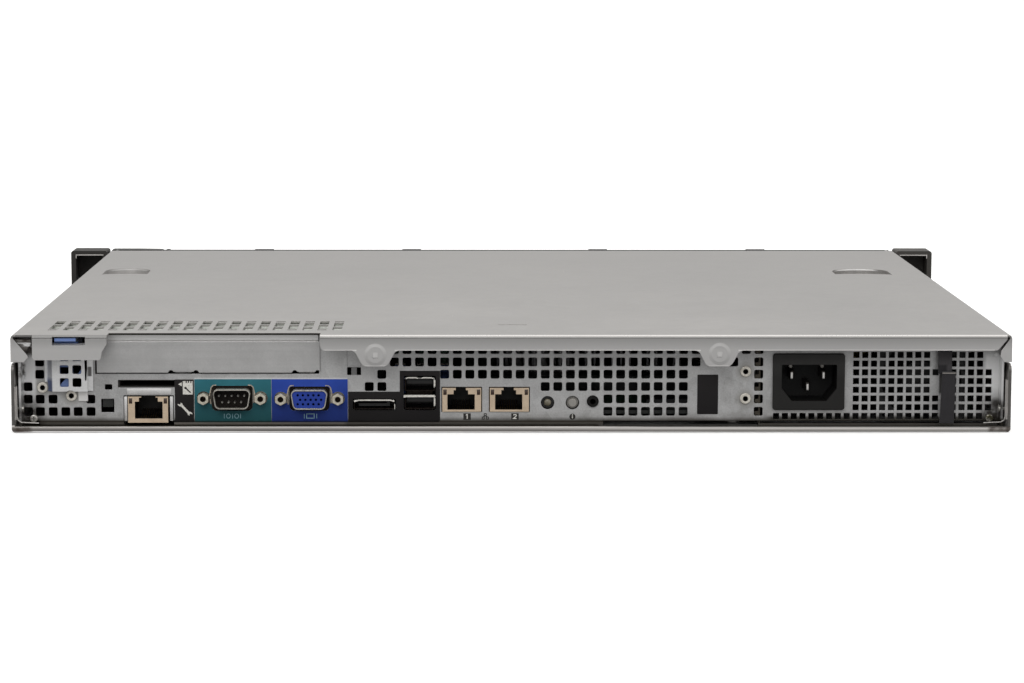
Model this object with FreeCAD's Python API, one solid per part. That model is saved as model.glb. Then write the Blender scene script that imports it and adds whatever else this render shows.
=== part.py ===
import FreeCAD, Part
import math
import os

# One-unit, short-depth 19-inch rack server, as an assembly of separate pieces.
# Lengths in millimetres. X is to the right seen from the rear, Z is up, and y below is the
# distance forward of the rearmost plane; MID_Y moves it so that the origin is the bottom centre.

V = FreeCAD.Vector
os.makedirs("parts", exist_ok=True)

# ---------------------------------------------------------------- driving dimensions
DEPTH = 412.0          # rear edge of the cover to the front of the fascia
MID_Y = DEPTH / 2
HEIGHT = 42.4          # over the cover
BODY_W = 434.0         # over the cover and the base
EAR_SPAN = 482.6       # over the rack ears (19 in)
EAR_HOLE_SPAN = 465.1  # rack hole columns
EAR_Y = 394.0          # rack plane: rear rim of the ears
COVER_T = 0.9
COVER_END = 375.0      # front edge of the cover
BEND_R = 1.3           # outside radius of the cover's bends
FLANGE_Z = 35.8        # lower edge of the cover's rear flange
TAB_Z = 31.6           # lower edge of the latch tab
TONGUE_Z = 28.9        # lower edge of the two tongues
SIDE_Z = 30.7          # lower edge of the cover's side flanges
FLOOR_T = 1.0
LIP_Z = 2.4
PANEL_Y = 12.0         # rear face of the rear panel
PANEL_T = 1.0
BOARD_Z = 5.7
BOARD_TOP = 7.3
VENT_PITCH = 5.5
VENT_SIZE = 3.9
FINE_PITCH = 3.88
FINE_SIZE = 2.7
DSUB_SCREWS = 24.99    # jackscrew spacing
FAN = 40.0
FAN_T = 28.0

HW = BODY_W / 2


# ---------------------------------------------------------------- geometry helpers
def _map(plane, c):
    if plane == "xz":
        return lambda a, b: V(a, c, b)
    if plane == "xy":
        return lambda a, b: V(a, b, c)
    return lambda a, b: V(c, a, b)


_DIR = {"xz": V(0, 1, 0), "xy": V(0, 0, 1), "yz": V(1, 0, 0)}


def wire(pts, plane, c):
    """Closed wire; a point is (a, b) or (a, b, corner radius). ("c", a, b, r) is a circle."""
    m = _map(plane, c)
    if pts[0] == "c":
        return Part.Wire([Part.Circle(m(pts[1], pts[2]), _DIR[plane], pts[3]).toShape()])
    n = len(pts)
    ends = []
    for i in range(n):
        p, a, b = pts[i], pts[i - 1], pts[(i + 1) % n]
        r = p[2] if len(p) > 2 else 0
        if r <= 0:
            ends.append((p[:2], None, p[:2]))
            continue
        ux, uy = a[0] - p[0], a[1] - p[1]
        vx, vy = b[0] - p[0], b[1] - p[1]
        lu, lv = math.hypot(ux, uy), math.hypot(vx, vy)
        ux, uy, vx, vy = ux / lu, uy / lu, vx / lv, vy / lv
        th = math.acos(max(-1, min(1, ux * vx + uy * vy)))
        t = r / math.tan(th / 2)
        bx, by = ux + vx, uy + vy
        lb = math.hypot(bx, by)
        d = r / math.sin(th / 2)
        cx, cy = p[0] + bx / lb * d, p[1] + by / lb * d
        k = (d - r) / d
        ends.append(
            (
                (p[0] + ux * t, p[1] + uy * t),
                (p[0] + (cx - p[0]) * k, p[1] + (cy - p[1]) * k),
                (p[0] + vx * t, p[1] + vy * t),
            )
        )
    edges = []
    for i in range(n):
        t1, mid, t2 = ends[i]
        if mid is not None:
            edges.append(Part.Arc(m(*t1), m(*mid), m(*t2)).toShape())
        nx = ends[(i + 1) % n][0]
        if math.hypot(nx[0] - t2[0], nx[1] - t2[1]) > 1e-6:
            edges.append(Part.makeLine(m(*t2), m(*nx)))
    return Part.Wire(edges)


def sheet(outer, holes, plane, c0, c1):
    ws = [wire(outer, plane, c0)] + [wire(h, plane, c0) for h in holes]
    f = Part.makeFace(ws, "Part::FaceMakerBullseye")
    return f.extrude(_DIR[plane] * (c1 - c0))


def prism(pts, plane, c0, c1):
    return Part.Face(wire(pts, plane, c0)).extrude(_DIR[plane] * (c1 - c0))


def box(x0, x1, y0, y1, z0, z1):
    return Part.makeBox(x1 - x0, y1 - y0, z1 - z0, V(x0, y0, z0))


def cyl_y(x, z, r, y0, y1):
    return Part.makeCylinder(r, y1 - y0, V(x, y0, z), V(0, 1, 0))


def cyl_z(x, y, r, z0, z1):
    return Part.makeCylinder(r, z1 - z0, V(x, y, z0), V(0, 0, 1))


def rr(xc, zc, w, h, r=0.0):
    a, b = w / 2, h / 2
    return [(xc - a, zc - b, r), (xc + a, zc - b, r), (xc + a, zc + b, r), (xc - a, zc + b, r)]


def rect(x0, x1, z0, z1, r=0.0):
    return [(x0, z0, r), (x1, z0, r), (x1, z1, r), (x0, z1, r)]


def fuse(*shapes):
    s = shapes[0]
    if len(shapes) > 1:
        s = s.fuse(list(shapes[1:])).removeSplitter()
    return s


def cut(s, *tools):
    return s.cut(list(tools))


def quarter(plane, cx, cy, ro, ri, sx, sy, c0, c1):
    """Quarter ring about (cx, cy), in the quadrant given by the signs sx, sy."""
    m = _map(plane, c0)
    q = math.sqrt(0.5)
    e = [
        Part.Arc(m(cx + sx * ro, cy), m(cx + sx * ro * q, cy + sy * ro * q), m(cx, cy + sy * ro)).toShape(),
        Part.makeLine(m(cx, cy + sy * ro), m(cx, cy + sy * ri)),
        Part.Arc(m(cx, cy + sy * ri), m(cx + sx * ri * q, cy + sy * ri * q), m(cx + sx * ri, cy)).toShape(),
        Part.makeLine(m(cx + sx * ri, cy), m(cx + sx * ro, cy)),
    ]
    return Part.Face(Part.Wire(e)).extrude(_DIR[plane] * (c1 - c0))


def save(name, *shapes):
    solids = []
    for s in shapes:
        solids += s.Solids
    out = solids[0] if len(solids) == 1 else Part.makeCompound(solids)
    out = out.copy()
    out.translate(V(0, -MID_Y, 0))
    ok = all(s.isValid() and s.Volume > 0 for s in out.Solids)
    print("%-22s solids %3d faces %5d vol %10.1f %s" % (name, len(solids), len(out.Faces), sum(s.Volume for s in out.Solids), "" if ok else "INVALID"))
    out.exportStep("parts/%s.step" % name)


# ---------------------------------------------------------------- top cover
zt, zi = HEIGHT, HEIGHT - COVER_T
bi = BEND_R - COVER_T
bz = HEIGHT - BEND_R
SLOT_X0, SLOT_X1, SLOT_BACK = -175.4, -83.4, 8.3

top_outline = [
    (-HW + BEND_R, BEND_R), (SLOT_X0, BEND_R), (SLOT_X0, SLOT_BACK), (SLOT_X1, SLOT_BACK),
    (SLOT_X1, BEND_R), (HW - BEND_R, BEND_R), (HW - BEND_R, COVER_END), (-HW + BEND_R, COVER_END),
]
# two staggered columns of vent slots repeat across the block above the expansion bay
vents = []
for k in range(20):
    xc = -201.3 + 6.553 * k
    spans = ((18.4, 21.4), (23.2, 38.2), (39.8, 51.2)) if k % 2 == 0 else ((18.4, 29.6), (31.4, 46.2), (47.8, 51.2))
    for a, b in spans:
        vents.append(rect(xc - 2.05, xc + 2.05, a, b, 0.45))
cover = sheet(top_outline, vents, "xy", zi, zt)

# pressed finger recesses: a ramp that deepens forward and ends in a rounded wall
REC_Y0, REC_Y1, REC_D = 249.0, 279.5, 2.7


def recess(x0, x1, grow):
    hw = (x1 - x0) / 2 + grow
    y0, y1 = REC_Y0 - grow, REC_Y1 + grow
    u = prism([(x0 - grow, y0, 1), (x1 + grow, y0, 1), (x1 + grow, y1, hw - 0.2), (x0 - grow, y1, hw - 0.2)], "xy", 37.5, zt)
    s = REC_D / (REC_Y1 - REC_Y0)
    ramp = prism(
        [(REC_Y0 - 5, zt + 5 * s - grow), (REC_Y1 + 5, zt - REC_D - 5 * s - grow), (REC_Y1 + 5, zt + 3), (REC_Y0 - 5, zt + 3)],
        "yz", x0 - 4, x1 + 4,
    )
    return u.common(ramp)


RECESSES = ((-207.0, -184.0), (170.0, 199.0))
for a, b in RECESSES:
    cover = cover.fuse(recess(a, b, COVER_T))
for a, b in RECESSES:
    cover = cover.cut(recess(a, b, 0.0))

# side bends and side flanges, each ending at the rear in an inward tab
sides = []
for s in (-1, 1):
    sides.append(quarter("xz", s * (HW - BEND_R), bz, BEND_R, bi, s, 1, BEND_R, COVER_END))
    xa, xb = sorted((s * (HW - COVER_T), s * HW))
    sides.append(box(xa, xb, 0.0, COVER_END, SIDE_Z, bz))
tab_l = prism([(-HW, bz), (-HW + 0.9, bz), (-209.3, 33.0, 0.8), (-211.4, SIDE_Z, 0.8), (-HW, SIDE_Z)], "xz", 0, COVER_T)
tab_r = prism([(HW, bz), (HW - 0.7, bz), (212.3, 35.6, 0.6), (212.0, 33.2, 0.6), (213.6, SIDE_Z, 0.6), (HW, SIDE_Z)], "xz", 0, COVER_T)
gusset = prism([(-215.9, 40.2), (-208.6, 40.2), (-208.6, 38.0), (-212.4, 33.2), (-215.9, 38.4)], "xz", 3.0, 3.9)
gusset_leg = box(-216.6, -215.6, 3.0, 3.9, 38.4, 40.2)

# rear flanges
def tongue(xc):
    return [(xc - 9.2, FLANGE_Z, 2.6), (xc - 5.6, TONGUE_Z, 3.0), (xc + 5.0, TONGUE_Z, 3.0), (xc + 8.8, FLANGE_Z, 2.6)]


main_pts = [(SLOT_X1, bz), (SLOT_X1, FLANGE_Z, 2.4)] + tongue(-59.3) + tongue(89.9) + [(210.8, FLANGE_Z, 1.6), (214.9, 40.6, 1.0), (214.9, bz)]
main_fl = prism(main_pts, "xz", 0, COVER_T)
main_bend = quarter("yz", BEND_R, bz, BEND_R, bi, -1, 1, SLOT_X1, 214.9)
LATCH_X0, LATCH_X1 = -207.7, SLOT_X0
tab_pts = [(LATCH_X0, bz), (LATCH_X0, TAB_Z, 1.2), (-178.2, TAB_Z, 1.2), (-177.6, 35.2, 2.5), (-175.5, 38.4, 2.0), (LATCH_X1, bz)]
WINDOW = (-199.0, -184.8, 38.0, 40.9)
latch_tab = sheet(tab_pts, [rect(*WINDOW, r=0.3)], "xz", 0, COVER_T)
latch_bend = quarter("yz", BEND_R, bz, BEND_R, bi, -1, 1, LATCH_X0, LATCH_X1)
discs = []
for xc, zc in ((-59.4, 33.9), (89.9, 34.3)):
    d = fuse(Part.makeCone(3.5, 4.9, 0.18, V(xc, -0.18, zc), V(0, 1, 0)), cyl_y(xc, zc, 4.9, 0.0, 0.3))
    lance = prism([(-0.14, zc + 1.5), (-0.35, zc - 1.1), (-0.3, zc - 1.5), (0.1, zc - 1.6), (0.1, zc + 1.5)], "yz", xc - 1.1, xc + 1.1)
    discs.append(fuse(d, lance))
cover = fuse(cover, *sides, tab_l, tab_r, gusset, gusset_leg, main_fl, main_bend, latch_tab, latch_bend, *discs)
# the window reaches up into the bend, and a crease runs along the tab under the bend
cover = cut(cover, box(WINDOW[0], WINDOW[1], -0.5, 1.5, 40.5, 41.7), box(LATCH_X0 - 1.0, LATCH_X1 + 1.0, -0.1, 0.3, 40.9, 41.2))
# a short pressed mark behind the vents
cover = cut(cover, prism(rr(0.5, 38.0, 13.0, 2.4, 1.1), "xy", zt - 0.3, zt + 0.1))
save("top_cover", cover)

# ---------------------------------------------------------------- chassis base
WALL_IN = 215.8
base = [box(-HW, HW, 0, EAR_Y, 0, FLOOR_T)]
for s in (-1, 1):
    for x0, x1, z0, z1 in ((WALL_IN, HW, 0, 29.7), (214.6, HW, 28.6, 29.7), (214.6, 215.7, 28.6, 41.0)):
        xa, xb = sorted((s * x0, s * x1))
        base.append(box(xa, xb, 0.0 if z0 < 20 else 13.6, EAR_Y, z0, z1))
base.append(box(-WALL_IN, WALL_IN, 0, 1.0, 0, LIP_Z))
for x in (-134, -20, 98):
    for y in (24, 192):
        base.append(cyl_z(x, y, 3.2, FLOOR_T, BOARD_Z))
base = fuse(*base)
es = [
    e for e in base.Edges
    if e.BoundBox.ZMax < 1e-4 and e.BoundBox.YLength > 300 and abs(abs(e.BoundBox.XMin) - HW) < 1e-4
]
base = base.makeFillet(1.4, es)
# the rear ends of the side walls are rounded at the top
es = [
    e for e in base.Edges
    if e.BoundBox.YMax < 1e-4 and abs(e.BoundBox.ZMin - 29.7) < 1e-4 and abs(e.BoundBox.ZMax - 29.7) < 1e-4 and e.BoundBox.XLength > 0.5
]
base = base.makeFillet(3.0, es)
# the lip is bent up from the floor with a round outer corner
base = cut(base, cut(box(-215.4, 215.4, -0.5, 0.9, -0.5, 0.9), Part.makeCylinder(0.9, 440.0, V(-220.0, 0.9, 0.9), V(1, 0, 0))))
save("chassis_base", base)

# ---------------------------------------------------------------- rear panel
px = 214.4
FILLER = (-181.2, -83.95, 24.6)
outline = [
    (-px, 3.2), (px, 3.2), (px, 40.8), (-84.3, 40.8), (-84.3, 24.0), (-182.0, 24.0), (-182.0, 40.8),
    (-186.0, 40.8), (-186.0, 17.4, 0.8), (-200.9, 17.4, 0.8), (-200.9, 40.8), (-px, 40.8),
]
holes = []
ROW = {"T": 34.7, "A": 29.2, "B": 23.75, "C": 18.3, "D": 12.8, "E": 7.3}
grid = {
    "T": list(range(-11, 14)) + [16, 17, 18],
    "A": list(range(-11, 14)) + [16, 18],
    "B": [-12] + list(range(-7, 13)) + [18],
    "C": [-13, -12] + list(range(1, 13)) + [18],
    "D": list(range(6, 13)) + [18],
    "E": list(range(6, 13)) + [18],
}
for row, js in grid.items():
    for j in js:
        holes.append(rr(9.05 + VENT_PITCH * j, ROW[row], VENT_SIZE, VENT_SIZE, 0.75))
LEFT_COL = [-211.4, -206.2, -200.6, -195.1, -189.7, -184.1]
left = {"E": [0, 1, 2, 3, 4, 5], "D": [0, 1, 2, 5], "C": [0], "B": [1], "A": [1]}
for row, cs in left.items():
    for c in cs:
        holes.append(rr(LEFT_COL[c], ROW[row], VENT_SIZE, VENT_SIZE, 0.75))
for r in range(8):
    cols = list(range(9, 18)) + list(range(20, 24)) + ([24] if 2 <= r <= 6 else [])
    if r in (2, 5, 6):
        cols.append(18)
    if r == 7:
        cols = list(range(0, 24))
    for i in cols:
        holes.append(rr(115.9 + FINE_PITCH * i, 32.3 - 3.87 * r, FINE_SIZE, FINE_SIZE))
holes += [
    rect(-177.9, -174.7, 17.0, 19.4, 0.3),
    rect(-179.6, -173.9, 7.0, 13.0, 0.3),
    rect(-172.2, -147.1, 17.9, 21.3, 0.2),
    rect(-72.1, -70.3, 23.4, 26.9, 0.2),
    rect(-67.9, -66.0, 23.4, 26.9, 0.2),
    rect(-69.7, -50.9, 8.1, 13.0, 0.4),
    rect(-47.4, -33.4, 7.9, 23.1, 0.5),
    rect(-30.9, -13.1, 7.1, 18.2, 0.2),
    rect(-10.1, 7.8, 7.1, 18.2, 0.2),
    ("c", 15.6, 11.2, 2.95),
    ("c", 26.5, 11.2, 2.95),
    ("c", 35.4, 11.8, 2.6),
    rect(116.1, 144.1, 9.9, 30.5, 1.0),
]
NUTS = [(-205.0, 18.0), (-192.5, 14.4), (102.3, 25.0), (102.3, 13.0)]
for x, z in NUTS:
    holes.append(("c", x, z, 1.75))
CORNER = [(-209.0, 4.4), (209.6, 4.4)]
panel = sheet(outline, holes, "xz", PANEL_Y, PANEL_Y + PANEL_T)
SERIAL = (-122.4, 13.3)
VIDEO = (-88.6, 13.1)


def dsub_cut(c, w, h, y0, y1):
    return [
        prism([(c[0] - w / 2, c[1] - h / 2 - 0.2, 2.2), (c[0] + w / 2, c[1] - h / 2 - 0.2, 2.2), (c[0] + w / 2 + 1.2, c[1] + h / 2, 2.2), (c[0] - w / 2 - 1.2, c[1] + h / 2, 2.2)], "xz", y0, y1),
        cyl_y(c[0] - DSUB_SCREWS / 2, c[1], 3.0, y0, y1),
        cyl_y(c[0] + DSUB_SCREWS / 2, c[1], 3.0, y0, y1),
        box(c[0] - DSUB_SCREWS / 2, c[0] + DSUB_SCREWS / 2, y0, y1, c[1] - 2.2, c[1] + 2.2),
    ]


panel = cut(panel, *(dsub_cut(SERIAL, 17.4, 10.9, 10, 15) + dsub_cut(VIDEO, 17.0, 10.6, 10, 15)))
# lower bend that turns forward onto the floor, and side flanges that turn rearward
FOOT_END = 40.0
foot = [quarter("yz", PANEL_Y + 2.2, 3.2, 2.2, 1.2, -1, -1, -206.5, FOOT_END), box(-206.5, FOOT_END, PANEL_Y + 2.2, 20.0, 1.0, 2.0)]
ends = []
for s in (-1, 1):
    xa, xb = sorted((s * 213.4, s * px))
    ends.append(box(xa, xb, 4.4, PANEL_Y + 0.5, 2.2, 32.6))
panel = fuse(panel, *foot, *ends)
panel = cut(panel, *[cyl_y(x, z, 0.85, 8, 15) for x, z in CORNER])
# the lowest jack's opening runs down through the lower bend
panel = cut(panel, box(-169.8, -147.9, 3.0, 21.0, 0.5, 14.5))
# the tongue of the hook slot is set back, and a shallow field is pressed above it
panel = cut(panel, box(-70.4, -67.8, 11.0, 12.55, 23.4, 26.9), box(-72.1, -66.0, 11.0, 12.35, 27.3, 36.0))
# narrow slot beside the latch guide
panel = cut(panel, prism([(-186.4, 38.5), (-185.15, 38.5), (-185.1, 27.0), (-185.5, 21.5), (-186.1, 21.5)], "xz", 11.0, 14.0))
# rivet holes in the side flanges
RIVET_Y, RIVET_Z = 7.5, 9.2
panel = cut(panel, *[Part.makeCylinder(1.05, 3, V(s * 212.4, RIVET_Y, RIVET_Z), V(s, 0, 0)) for s in (-1, 1)])
save("rear_panel", panel)

# ---------------------------------------------------------------- latch guide, latch, slot filler
g = sheet(rect(-200.4, -185.9, 16.6, 37.0, 0.3), [rr(x, z, VENT_SIZE, VENT_SIZE, 0.7) for x in (-195.1, -189.6) for z in (20.6, 26.3, 32.0)], "xz", 8.6, 9.5)
gl = prism([(-200.4, 8.6), (-199.4, 9.5), (-201.5, 12.0), (-202.6, 11.2)], "xy", 16.6, 37.0)
gl2 = box(-203.9, -201.6, 11.2, 12.0, 20.6, 37.0)
gr = box(-185.9, -185.0, 8.6, 12.0, 16.6, 37.0)
gr2 = box(-185.9, -182.9, 11.1, 12.0, 16.6, 37.0)
gr1 = box(-186.8, -185.0, 8.6, 9.5, 16.6, 37.0)
gb = box(-200.4, -185.0, 8.6, 12.0, 16.6, 17.5)
foot_plate = box(-189.4, -185.3, 11.3, 12.0, 12.05, 17.0)
gl = cut(gl, box(-206, -199, 11.9, 14, 15, 38))
hem = prism([(7.7, 37.0), (9.5, 37.0), (9.5, 38.0), (7.7, 38.0, 0.35)], "yz", -200.0, -185.4)
GUIDE_SLOT = [(-186.4, 36.6), (-185.15, 36.6), (-185.1, 27.0), (-185.5, 21.5), (-186.1, 21.5)]
guide = cut(fuse(g, gl, gl2, gr, gr1, gr2, gb, foot_plate, hem), prism(GUIDE_SLOT, "xz", 8.0, 13.0), *[cyl_y(x, z, 2.7, 8.0, 13.0) for x, z in NUTS[:2]])
save("latch_guide", guide)

latch = fuse(
    box(-199.4, -187.2, 10.2, 14.4, 18.2, 41.0),
    prism([(1.5, 39.4, 0.7), (12.0, 39.4), (12.0, 41.2), (1.5, 41.2, 0.7)], "yz", -198.1, -188.5),
)
# openings through the latch, so that only some of its ribs show behind the guide's holes
for pts in (
    rect(-197.1, -193.1, 29.9, 34.1), rect(-191.6, -187.7, 29.9, 34.1), rect(-197.2, -193.0, 23.9, 27.2),
    [(-191.8, 28.7), (-187.6, 28.7), (-187.6, 26.6), (-189.6, 23.9), (-191.8, 23.9)],
    [(-197.2, 22.9), (-194.0, 22.9), (-197.2, 19.3)],
    [(-192.0, 22.9), (-186.5, 22.9), (-186.5, 17.9), (-193.2, 17.9)],
):
    latch = cut(latch, prism(pts, "xz", 10.0, 15.0))
save("cover_latch", latch)

f_main = box(FILLER[0], FILLER[1], 11.1, 11.9, FILLER[2], 38.3)
f_step = prism([(11.1, 37.6), (11.9, 37.6), (13.0, 38.2), (13.0, 39.0), (12.2, 39.0), (11.1, 38.3)], "yz", FILLER[0], -84.6)
f_top = box(FILLER[0], -84.6, 12.2, 13.0, 38.6, 41.2)
f_roof = box(FILLER[0], -84.6, 12.2, 15.2, 40.3, 41.2)
f_foot = [box(x, x + 7.0, 11.5, 15.5, 24.6, 25.5) for x in (-147.0, -93.2)]
filler = fuse(f_main, f_step, f_top, f_roof, *f_foot)
filler = cut(filler, *[prism([(x - 1.5, 24.5), (x + 1.5, 24.5), (x + 0.5, 25.7), (x - 0.5, 25.7)], "xz", 10, 13.0) for x in (-148.9, -138.0, -94.9, -84.9)], *[box(x, x + 10.5, 11.0, 12.0, 24.5, 25.0) for x in (-148.7, -95.0)])
save("slot_filler", filler)

# ---------------------------------------------------------------- screws, rivets, clinch nuts
fast = []
for x, z in CORNER:
    h = cyl_y(x, z, 1.75, 10.6, 12.0)
    h = h.makeFillet(0.5, [e for e in h.Edges if e.Closed and e.BoundBox.YMax < 10.7])
    cross = [box(x - 0.9, x + 0.9, 10.0, 11.1, z - 0.2, z + 0.2), box(x - 0.2, x + 0.2, 10.0, 11.1, z - 0.9, z + 0.9)]
    fast.append(fuse(cut(h, *cross), cyl_y(x, z, 0.8, 11.6, 17.0)))
for s in (-1, 1):
    head = Part.makeCylinder(1.6, 0.7, V(s * 212.7, RIVET_Y, RIVET_Z), V(s, 0, 0))
    shank = Part.makeCylinder(1.0, 2.4, V(s * 213.2, RIVET_Y, RIVET_Z), V(s, 0, 0))
    hollow = Part.makeCylinder(0.6, 1.5, V(s * 212.0, RIVET_Y, RIVET_Z), V(s, 0, 0))
    fast.append(cut(fuse(head, shank), hollow))
save("chassis_fasteners", *fast)
nuts = []
for x, z in NUTS:
    n = cyl_y(x, z, 2.35, 11.3, 12.0)
    n = n.makeFillet(0.3, [e for e in n.Edges if e.Closed and e.BoundBox.YMax < 11.4])
    nuts.append(cut(fuse(n, cyl_y(x, z, 1.7, 11.9, 15.0)), cyl_y(x, z, 1.1, 11.0, 15.5)))
save("clinch_nuts", *nuts)


# ---------------------------------------------------------------- D-shaped connectors
def dshape(c, w, h, r, slope=0.17):
    d = h * slope
    return [(c[0] - w / 2 + d, c[1] - h / 2, r), (c[0] + w / 2 - d, c[1] - h / 2, r), (c[0] + w / 2, c[1] + h / 2, r), (c[0] - w / 2, c[1] + h / 2, r)]


def dsub_shell(c, w, h):
    skirt = sheet(dshape(c, w, h, 2.2), [dshape(c, w - 1.0, h - 1.0, 1.8)], "xz", 7.4, 13.8)
    plate = sheet(rr(c[0], c[1], 31.0, 10.6, 1.0), [dshape(c, w - 1.0, h - 1.0, 1.8), ("c", c[0] - DSUB_SCREWS / 2, c[1], 1.55), ("c", c[0] + DSUB_SCREWS / 2, c[1], 1.55)], "xz", 13.2, 13.8)
    return fuse(skirt, plate)


save("serial_shell", dsub_shell(SERIAL, 17.0, 8.8))
save("video_shell", dsub_shell(VIDEO, 16.6, 8.6))
pin_at = [(SERIAL[0] + 2.74 * (i - 2), SERIAL[1] + 1.42) for i in range(5)] + [(SERIAL[0] + 2.74 * (i - 1.5), SERIAL[1] - 1.42) for i in range(4)]
ins = fuse(prism(dshape(SERIAL, 15.8, 7.6, 1.7), "xz", 11.6, 13.8), prism(rect(SERIAL[0] - 10.4, SERIAL[0] + 10.4, BOARD_TOP, 17.4, 0.3), "xz", 13.8, 24.0))
ins = cut(ins, *[cyl_y(x, z, 0.56, 11.0, 25.0) for x, z in pin_at])
save("serial_insert", ins)
pins = []
for x, z in pin_at:
    pins.append(fuse(cyl_y(x, z, 0.5, 8.7, 24.0), Part.makeCone(0.25, 0.5, 0.4, V(x, 8.3, z), V(0, 1, 0))))
save("serial_pins", *pins)
vin = fuse(prism(dshape(VIDEO, 15.4, 7.4, 1.6), "xz", 7.9, 13.8), prism(rect(VIDEO[0] - 10.4, VIDEO[0] + 10.4, BOARD_TOP, 17.4, 0.3), "xz", 13.8, 24.0))
vh = []
for r in range(3):
    for i in range(5):
        vh.append(cyl_y(VIDEO[0] + 2.29 * (i - 2) + (1.1 if r == 1 else 0.0) - 0.4, VIDEO[1] + 1.98 * (1 - r), 0.55, 7.0, 13.0))
save("video_insert", cut(vin, *vh))
jacks = []
for c in (SERIAL, VIDEO):
    for s in (-1, 1):
        x = c[0] + s * DSUB_SCREWS / 2
        hexa = [(x + 2.65 * math.cos(math.radians(60 * k + 30)), c[1] + 2.65 * math.sin(math.radians(60 * k + 30))) for k in range(6)]
        j = prism(hexa, "xz", 8.2, 13.2).common(cyl_y(x, c[1], 2.55, 8.2, 13.2))
        j = fuse(j, cyl_y(x, c[1], 1.45, 13.1, 13.75))
        jacks.append(cut(j, cyl_y(x, c[1], 1.25, 7.5, 13.0)))
save("port_jackscrews", *jacks)


# ---------------------------------------------------------------- USB and storage ports
def usb_shell(xc, zc, y0, y1, back):
    w, h, t = 13.1, 5.8, 0.4
    s = sheet(rr(xc, zc, w, h, 0.5), [rr(xc, zc, w - 2 * t, h - 2 * t, 0.2)], "xz", min(y0, y1), max(y0, y1))
    b = prism(rr(xc, zc, w, h, 0.5), "xz", *((y1, y1 + back) if y1 > y0 else (y1 - back, y1)))
    return fuse(s, b)


USB = [(-40.4, 19.45), (-40.4, 11.55)]
rear_usb = fuse(*[usb_shell(x, z, 10.9, 26.0, 2.0) for x, z in USB], box(-46.0, -34.8, 15.0, 27.0, BOARD_TOP, 8.75), box(-46.0, -34.8, 15.0, 27.0, 14.4, 16.6))
FUSB = [(172.0, 8.8), (172.0, 17.6)]
front_usb = [usb_shell(x, z, 411.2, 396.0, 2.0) for x, z in FUSB]
save("usb_shells", rear_usb, *front_usb)
tongues = []
for x, z in USB:
    t = fuse(box(x - 5.6, x + 5.6, 13.0, 24.0, z + 0.1, z + 1.95), box(x - 6.1, x + 6.1, 24.0, 26.0, z - 2.4, z + 2.4))
    tongues.append(t)
for x, z in FUSB:
    tongues.append(fuse(box(x - 5.6, x + 5.6, 398.0, 409.5, z + 0.1, z + 1.95), box(x - 6.1, x + 6.1, 396.0, 398.0, z - 2.4, z + 2.4)))
save("usb_tongues", *tongues)
ST = (-60.3, 10.55)
st = sheet(rr(ST[0], ST[1], 17.8, 4.0, 0.5), [rr(ST[0], ST[1], 17.0, 3.2, 0.2)], "xz", 10.9, 25.0)
st = fuse(st, prism(rr(ST[0], ST[1], 17.8, 4.0, 0.5), "xz", 25.0, 27.0), box(ST[0] - 7, ST[0] + 7, 15.0, 26.0, BOARD_TOP, 8.7))
save("storage_port_shell", st)
save("storage_port_tongue", fuse(box(ST[0] - 6.8, ST[0] + 6.8, 13.0, 23.0, ST[1] - 0.9, ST[1] + 0.3), box(ST[0] - 8.3, ST[0] + 8.3, 23.0, 25.0, ST[1] - 1.5, ST[1] + 1.5), box(ST[0] + 5.6, ST[0] + 6.8, 13.0, 23.0, ST[1] - 0.9, ST[1] + 1.1)))


# ---------------------------------------------------------------- network jacks
def net_jack(x0, x1, z0, z1, cx0, cx1, cz0, cz1, n0, n1, depth, y0=11.5):
    b = box(x0, x1, y0, y0 + depth + 2.5, z0, z1)
    xm = (n0 + n1) / 2
    tools = [
        box(cx0, cx1, y0 - 1, y0 + depth, cz0, cz1),
        box(n0 - 0.4, n1 + 0.4, y0 - 1, y0 + depth - 3, cz1 - 0.1, cz1 + 1.8),
        box(n0 + 0.6, n1 - 0.6, y0 - 1, y0 + depth - 5, cz1 + 1.7, z1 + 0.1),
    ]
    for x in (x0 + 1.15, x1 - 1.15):
        tools.append(box(x - 0.75, x + 0.75, y0 - 1, y0 + 0.8, z1 - 3.1, z1 - 0.7))
    return cut(b, *tools)


LAN1 = net_jack(-30.5, -13.5, BOARD_TOP, 17.8, -28.3, -16.3, 8.2, 15.0, -25.2, -19.6, 14.0)
LAN2 = net_jack(-9.7, 7.4, BOARD_TOP, 17.8, -7.4, 4.5, 8.2, 15.0, -4.3, 1.4, 14.0)
MGMT = net_jack(-167.9, -150.4, 2.5, 14.0, -164.9, -152.8, 4.3, 11.8, -162.7, -155.2, 14.0)
MGMT = fuse(MGMT, box(-167.0, -150.8, 14.5, 27.0, 13.9, 14.4))
save("network_jacks", LAN1, LAN2, MGMT)
contacts = []
for x0, x1, zb in ((-28.3, -16.3, 8.2), (-7.4, 4.5, 8.2), (-164.9, -152.8, 4.3)):
    xm = (x0 + x1) / 2
    for k in range(8):
        x = xm + 1.02 * (k - 3.5)
        contacts.append(prism([(14.0, zb + 0.05), (15.0, zb + 0.05), (25.45, zb + 2.1), (25.45, zb + 2.5), (24.6, zb + 2.5)], "yz", x - 0.2, x + 0.2))
save("network_contacts", *contacts)
slot = cut(box(-173.4, -146.0, 13.2, 44.0, 16.0, 21.9), box(-171.6, -147.6, 12.0, 42.0, 18.3, 20.9))
save("card_slot", slot)

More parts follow.
